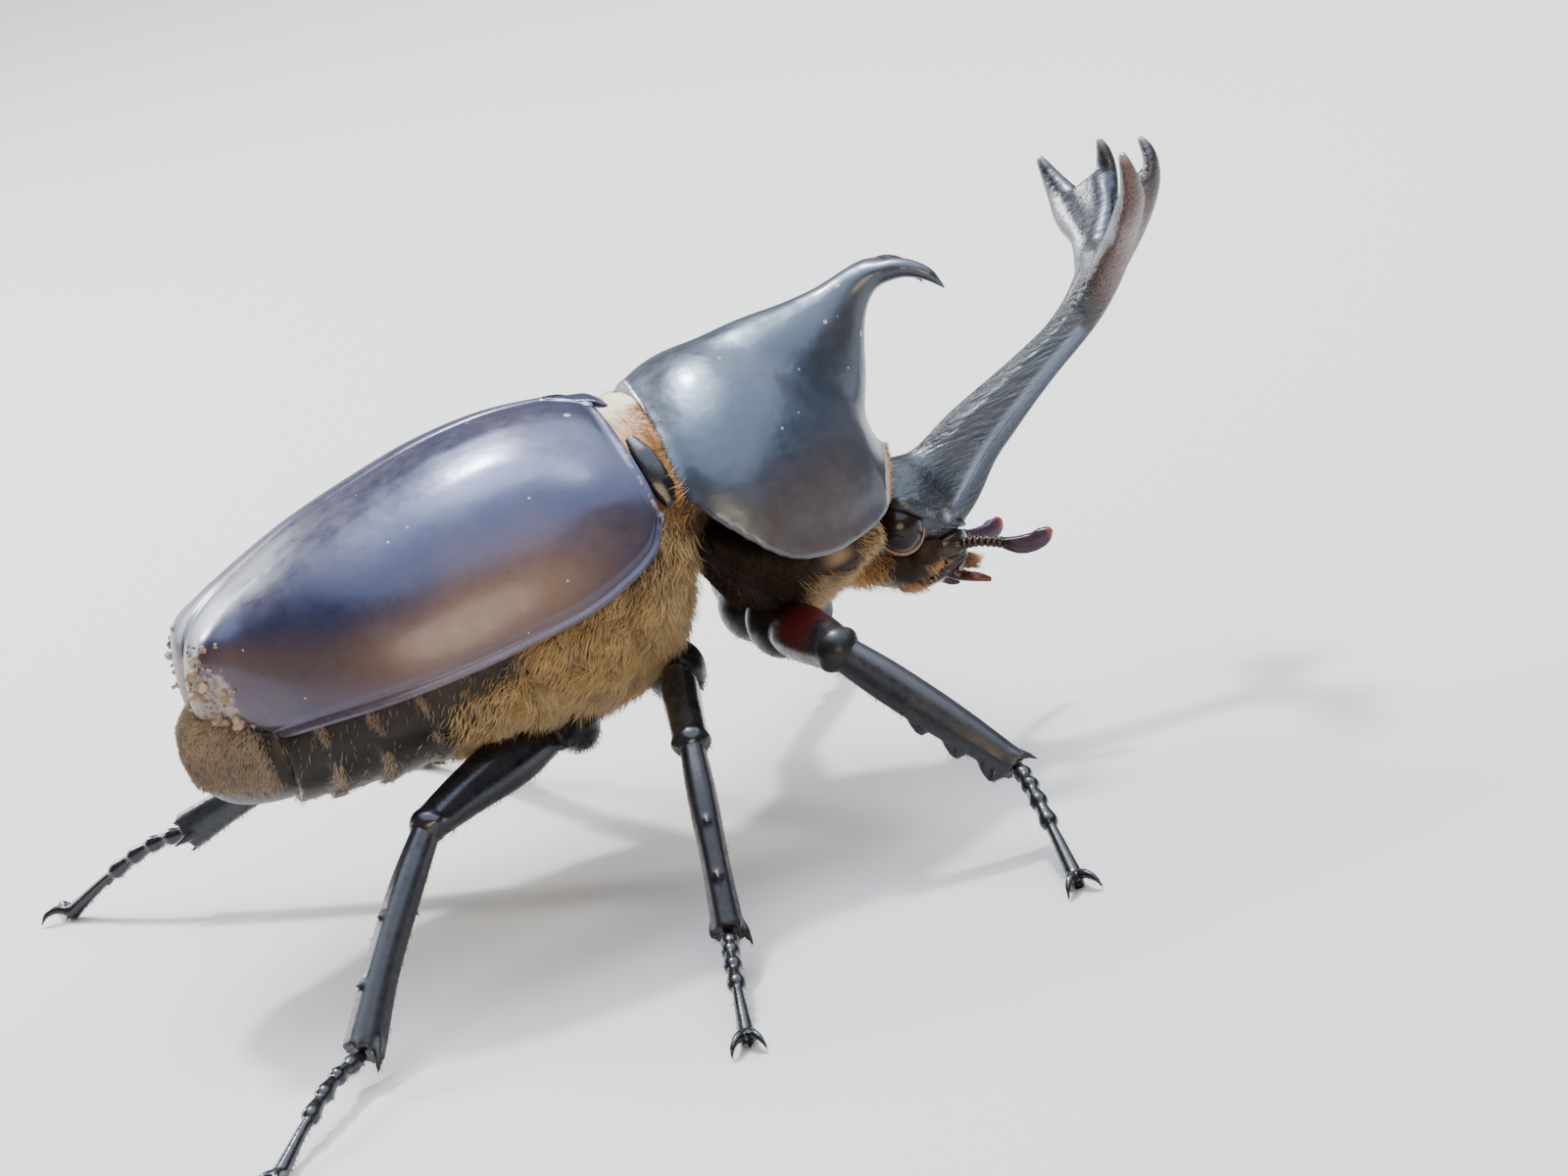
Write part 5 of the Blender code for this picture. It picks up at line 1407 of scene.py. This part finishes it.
def belly_hair(abdomen, tail, golden, cream):
    """Golden fur on the front flanks, pale strips between the plates and down on the tail."""
    plates_front, plates_length = -14.2, 15.1

    def flank(p, n):
        return ramp(p[:, 0], -20.5, -15.0) * ramp(-p[:, 2], 0.0, 2.5)

    def strips(p, n):
        plate = np.clip(plates_front - p[:, 0], 0, plates_length) / plates_length * BELLY_PLATES
        gaps = (0.5 + 0.5 * np.sin(1.9 * p[:, 2] + 2.3 * p[:, 0])
                * np.sin(1.1 * p[:, 1] + 0.8 * p[:, 0]))
        strip = bell(plate % 1.0, 0.16, 0.07) * ramp(gaps, 0.35, 0.75)
        return (0.012 + strip) * ramp(-p[:, 2], -1.5, 0.5)

    def end(p, n):
        return ramp(-p[:, 0], 29.8, 30.8) * ramp(p[:, 2] + 0.3 * (p[:, 0] + 32), -2.8, -1.8)

    fur = dict(roots=scatter(abdomen, HAIRS["flank"], flank, 4), way=(-0.8, 0.0, -0.6),
               length=1.35, width=0.028, lift=0.38, droop=0.25, messy=1.1, tuft=1.1)
    coat("flank_hair", [fur], golden, seed=16)
    fringe = dict(roots=scatter(abdomen, HAIRS["belly"], strips, 5), way=(-0.5, 0.0, -1.0),
                  length=0.75, width=0.026, lift=0.2, messy=0.7, tuft=0.5)
    coat("belly_hair", [fringe], cream, seed=14)
    down = dict(roots=scatter(tail, HAIRS["tail"], end, 6), way=(-0.5, 0.0, -1.0),
                length=0.62, width=0.028, lift=0.35, messy=0.9, tuft=0.45)
    coat("tail_hair", [down], cream, seed=15)


def head_hair(neck, collar, hems, orange):
    """Orange tufts under the head, at the mouth and round the waist, and the pronotum's fringes."""
    def tufts(p, n):
        left = p * (1, 0, 1) + np.abs(p) * (0, 1, 0)
        return sum(nearness(left, [place], width) for place, width in THROAT_TUFTS)

    def waist_sides(p, n):
        return ramp(p[:, 0], -2.9, -1.2) * ramp(np.abs(p[:, 1]), 3, 7)

    batches = [dict(roots=scatter(neck, HAIRS["throat"], tufts, 21), way=(0.25, 0.0, -1.0),
                    length=1.0, width=0.024, lift=0.55, droop=0.5, messy=1.1, tuft=0.5),
               dict(roots=scatter(collar, HAIRS["waist"], waist_sides, 30),
                    way=(-1.0, 0.0, 0.0), length=1.0, width=0.02, lift=0.25, messy=0.8, tuft=0.9)]

    def across(p):
        return p * (0, 1, 1)

    def above(p):
        return across(p) + (0, 0, 4)

    def forward_down(p):
        return p * 0 + (0.3, 0, -1)

    for number, (_, side) in enumerate(SIDES):
        brush = with_head(mirrored(MOUTH_BRUSH, side))
        rear, front = [hem[number] for hem in zip(*hems)]
        behind, before = rear[20:] + (0.35, 0, -0.25), front * (1, 0.97, 0.97)
        batches += [
            dict(roots=along_line(brush, HAIRS["brush"], forward_down, 0.2, 22 + number),
                 way=(1.0, 0.0, -0.15), length=1.15, width=0.022, lift=0.45, stray=0.4, messy=1.0),
            dict(roots=along_line(behind, HAIRS["rear_hem"], across, 0.16, 24 + number),
                 way=(-1.0, 0.0, 0.0), length=1.55, width=0.024, lift=0.12, messy=0.5),
            dict(roots=along_line(before, HAIRS["front_hem"], above, 0.10, 26 + number),
                 way=(1.0, 0.0, -0.1), length=0.32, width=0.018, lift=0.1, messy=0.3)]
    coat("orange_fringes", batches, orange, seed=31)


def leg_hair(pair, letter, parts, dark):
    """Stiff bristles on the underside of one leg's parts."""
    knee, ankle, foot = (np.array(point) for point in LEGS[(pair, letter)])
    hip = to_floor(mirrored(PAIRS[pair]["coxa"], dict(SIDES)[letter]))
    seed = 50 + 2 * list(LEGS).index((pair, letter))

    def lower(p, n):
        return ramp(-n[:, 2], 0.2, 0.8) + 0.02

    few = 0.2 if pair == "front" else 1.0
    batches = []
    for part, share, way, length in (("coxa", few, knee - hip, 0.6), ("femur", few, knee - hip, 0.6),
                                     ("tibia", 1.0, ankle - knee, 0.5),
                                     ("tarsus", 1.0, foot - ankle, 0.4)):
        count = int(share * HAIRS[part])
        batches.append(dict(roots=scatter(parts[part], count, lower, seed), way=unit(way),
                            length=length, width=0.022, lift=0.45, stray=0.3, messy=0.6))
    coat(f"{pair}_bristles_{letter}", batches, dark, on_body=False, seed=seed + 1)


# Floor, light and camera.

def add(name, data):
    """An object of some data in the scene."""
    obj = bpy.data.objects.new(name, data)
    bpy.context.scene.collection.objects.link(obj)
    return obj


def photo_camera():
    """The camera at the photo's viewing angle, worked out in the body's own frame.

    The body's axis rises by axis_lift in the picture.
    """
    azimuth, elevation, axis_lift = np.radians((10.0, 12.5, 25.0))
    distance, target = 350.0, np.array([4.0, 0.0, -6.2])
    toward = np.array([-np.sin(azimuth) * np.cos(elevation), -np.cos(azimuth) * np.cos(elevation),
                       np.sin(elevation)])
    level = np.array([np.cos(azimuth), -np.sin(azimuth), 0.0])
    above = np.cross(toward, level)
    turn = axis_lift - np.arctan2(above[0], level[0])
    right = level * np.cos(turn) - above * np.sin(turn)
    up = level * np.sin(turn) + above * np.cos(turn)
    matrix = np.eye(4)
    matrix[:3, :3] = TILT @ np.stack([right, up, toward], 1)
    matrix[:3, 3] = to_world(to_floor(target + distance * toward))
    data = bpy.data.cameras.new("camera")
    data.sensor_width = SENSOR
    data.lens = SENSOR * distance * PIXELS_PER_MM / PHOTO_WIDTH
    data.clip_start, data.clip_end = 0.01, 20.0
    camera = add("camera", data)
    camera.matrix_world = Matrix(matrix.tolist())
    bpy.context.scene.camera = camera


def pale_floor():
    """A plain floor, far wider than the animal."""
    corners = np.array([(-3, -3, 0), (3, -3, 0), (3, 3, 0), (-3, 3, 0)], float)
    mesh = to_mesh("floor", corners, [[0, 1, 2, 3]])
    plain = Finish("floor_finish", Roughness=0.6, Base_Color=(0.54, 0.53, 0.515, 1.0))
    mesh.materials.append(plain.material)
    floor = add("floor", mesh)


def studio_light():
    """A dim bluish room and soft lamps: name, place, aim height, sizes, power and tint."""
    world = bpy.data.worlds.new("studio")
    bpy.context.scene.world = world
    world.use_nodes = True
    back = world.node_tree.nodes["Background"]
    back.inputs["Color"].default_value = (0.74, 0.84, 1.0, 1.0)
    back.inputs["Strength"].default_value = 0.30
    for name, place, aim, sizes, power, tint in (
            ("overhead", (0.14, 0.0, 0.52), 0.02, (1.10, 0.90), 8.6, (0.78, 0.86, 1.0)),
            ("core", (0.06, 0.10, 0.50), 0.02, (0.26, 0.22), 1.5, (0.86, 0.92, 1.0)),
            ("sun", (0.04, 0.22, 0.44), 0.02, (0.05, 0.05), 3.0, (1.0, 0.98, 0.95)),
            ("back_key", (-0.18, 0.36, 0.26), 0.02, (0.10, 0.10), 2.0, (1.0, 0.98, 0.94)),
            ("back_sheet", (-0.32, 0.55, 0.20), 0.03, (0.60, 0.30), 2.2, (0.96, 0.98, 1.0)),
            ("side_fill", (-0.04, -0.60, 0.20), 0.02, (0.40, 0.26), 2.2, (1.0, 0.71, 0.40))):
        data = bpy.data.lights.new(name, "AREA")
        data.shape = "ELLIPSE"
        data.size, data.size_y = sizes
        data.energy = power
        data.color = tint
        lamp = add(name, data)
        lamp.location = place
        away = unit(np.array(place) - (0, 0, aim))
        right = unit(np.cross(UP, away) + (1e-6, 0, 0))
        lamp.rotation_mode = "QUATERNION"
        axes = Matrix(np.stack([right, np.cross(away, right), away], 1).tolist())
        lamp.rotation_quaternion = axes.to_quaternion()


build()
photo_camera()
pale_floor()
studio_light()
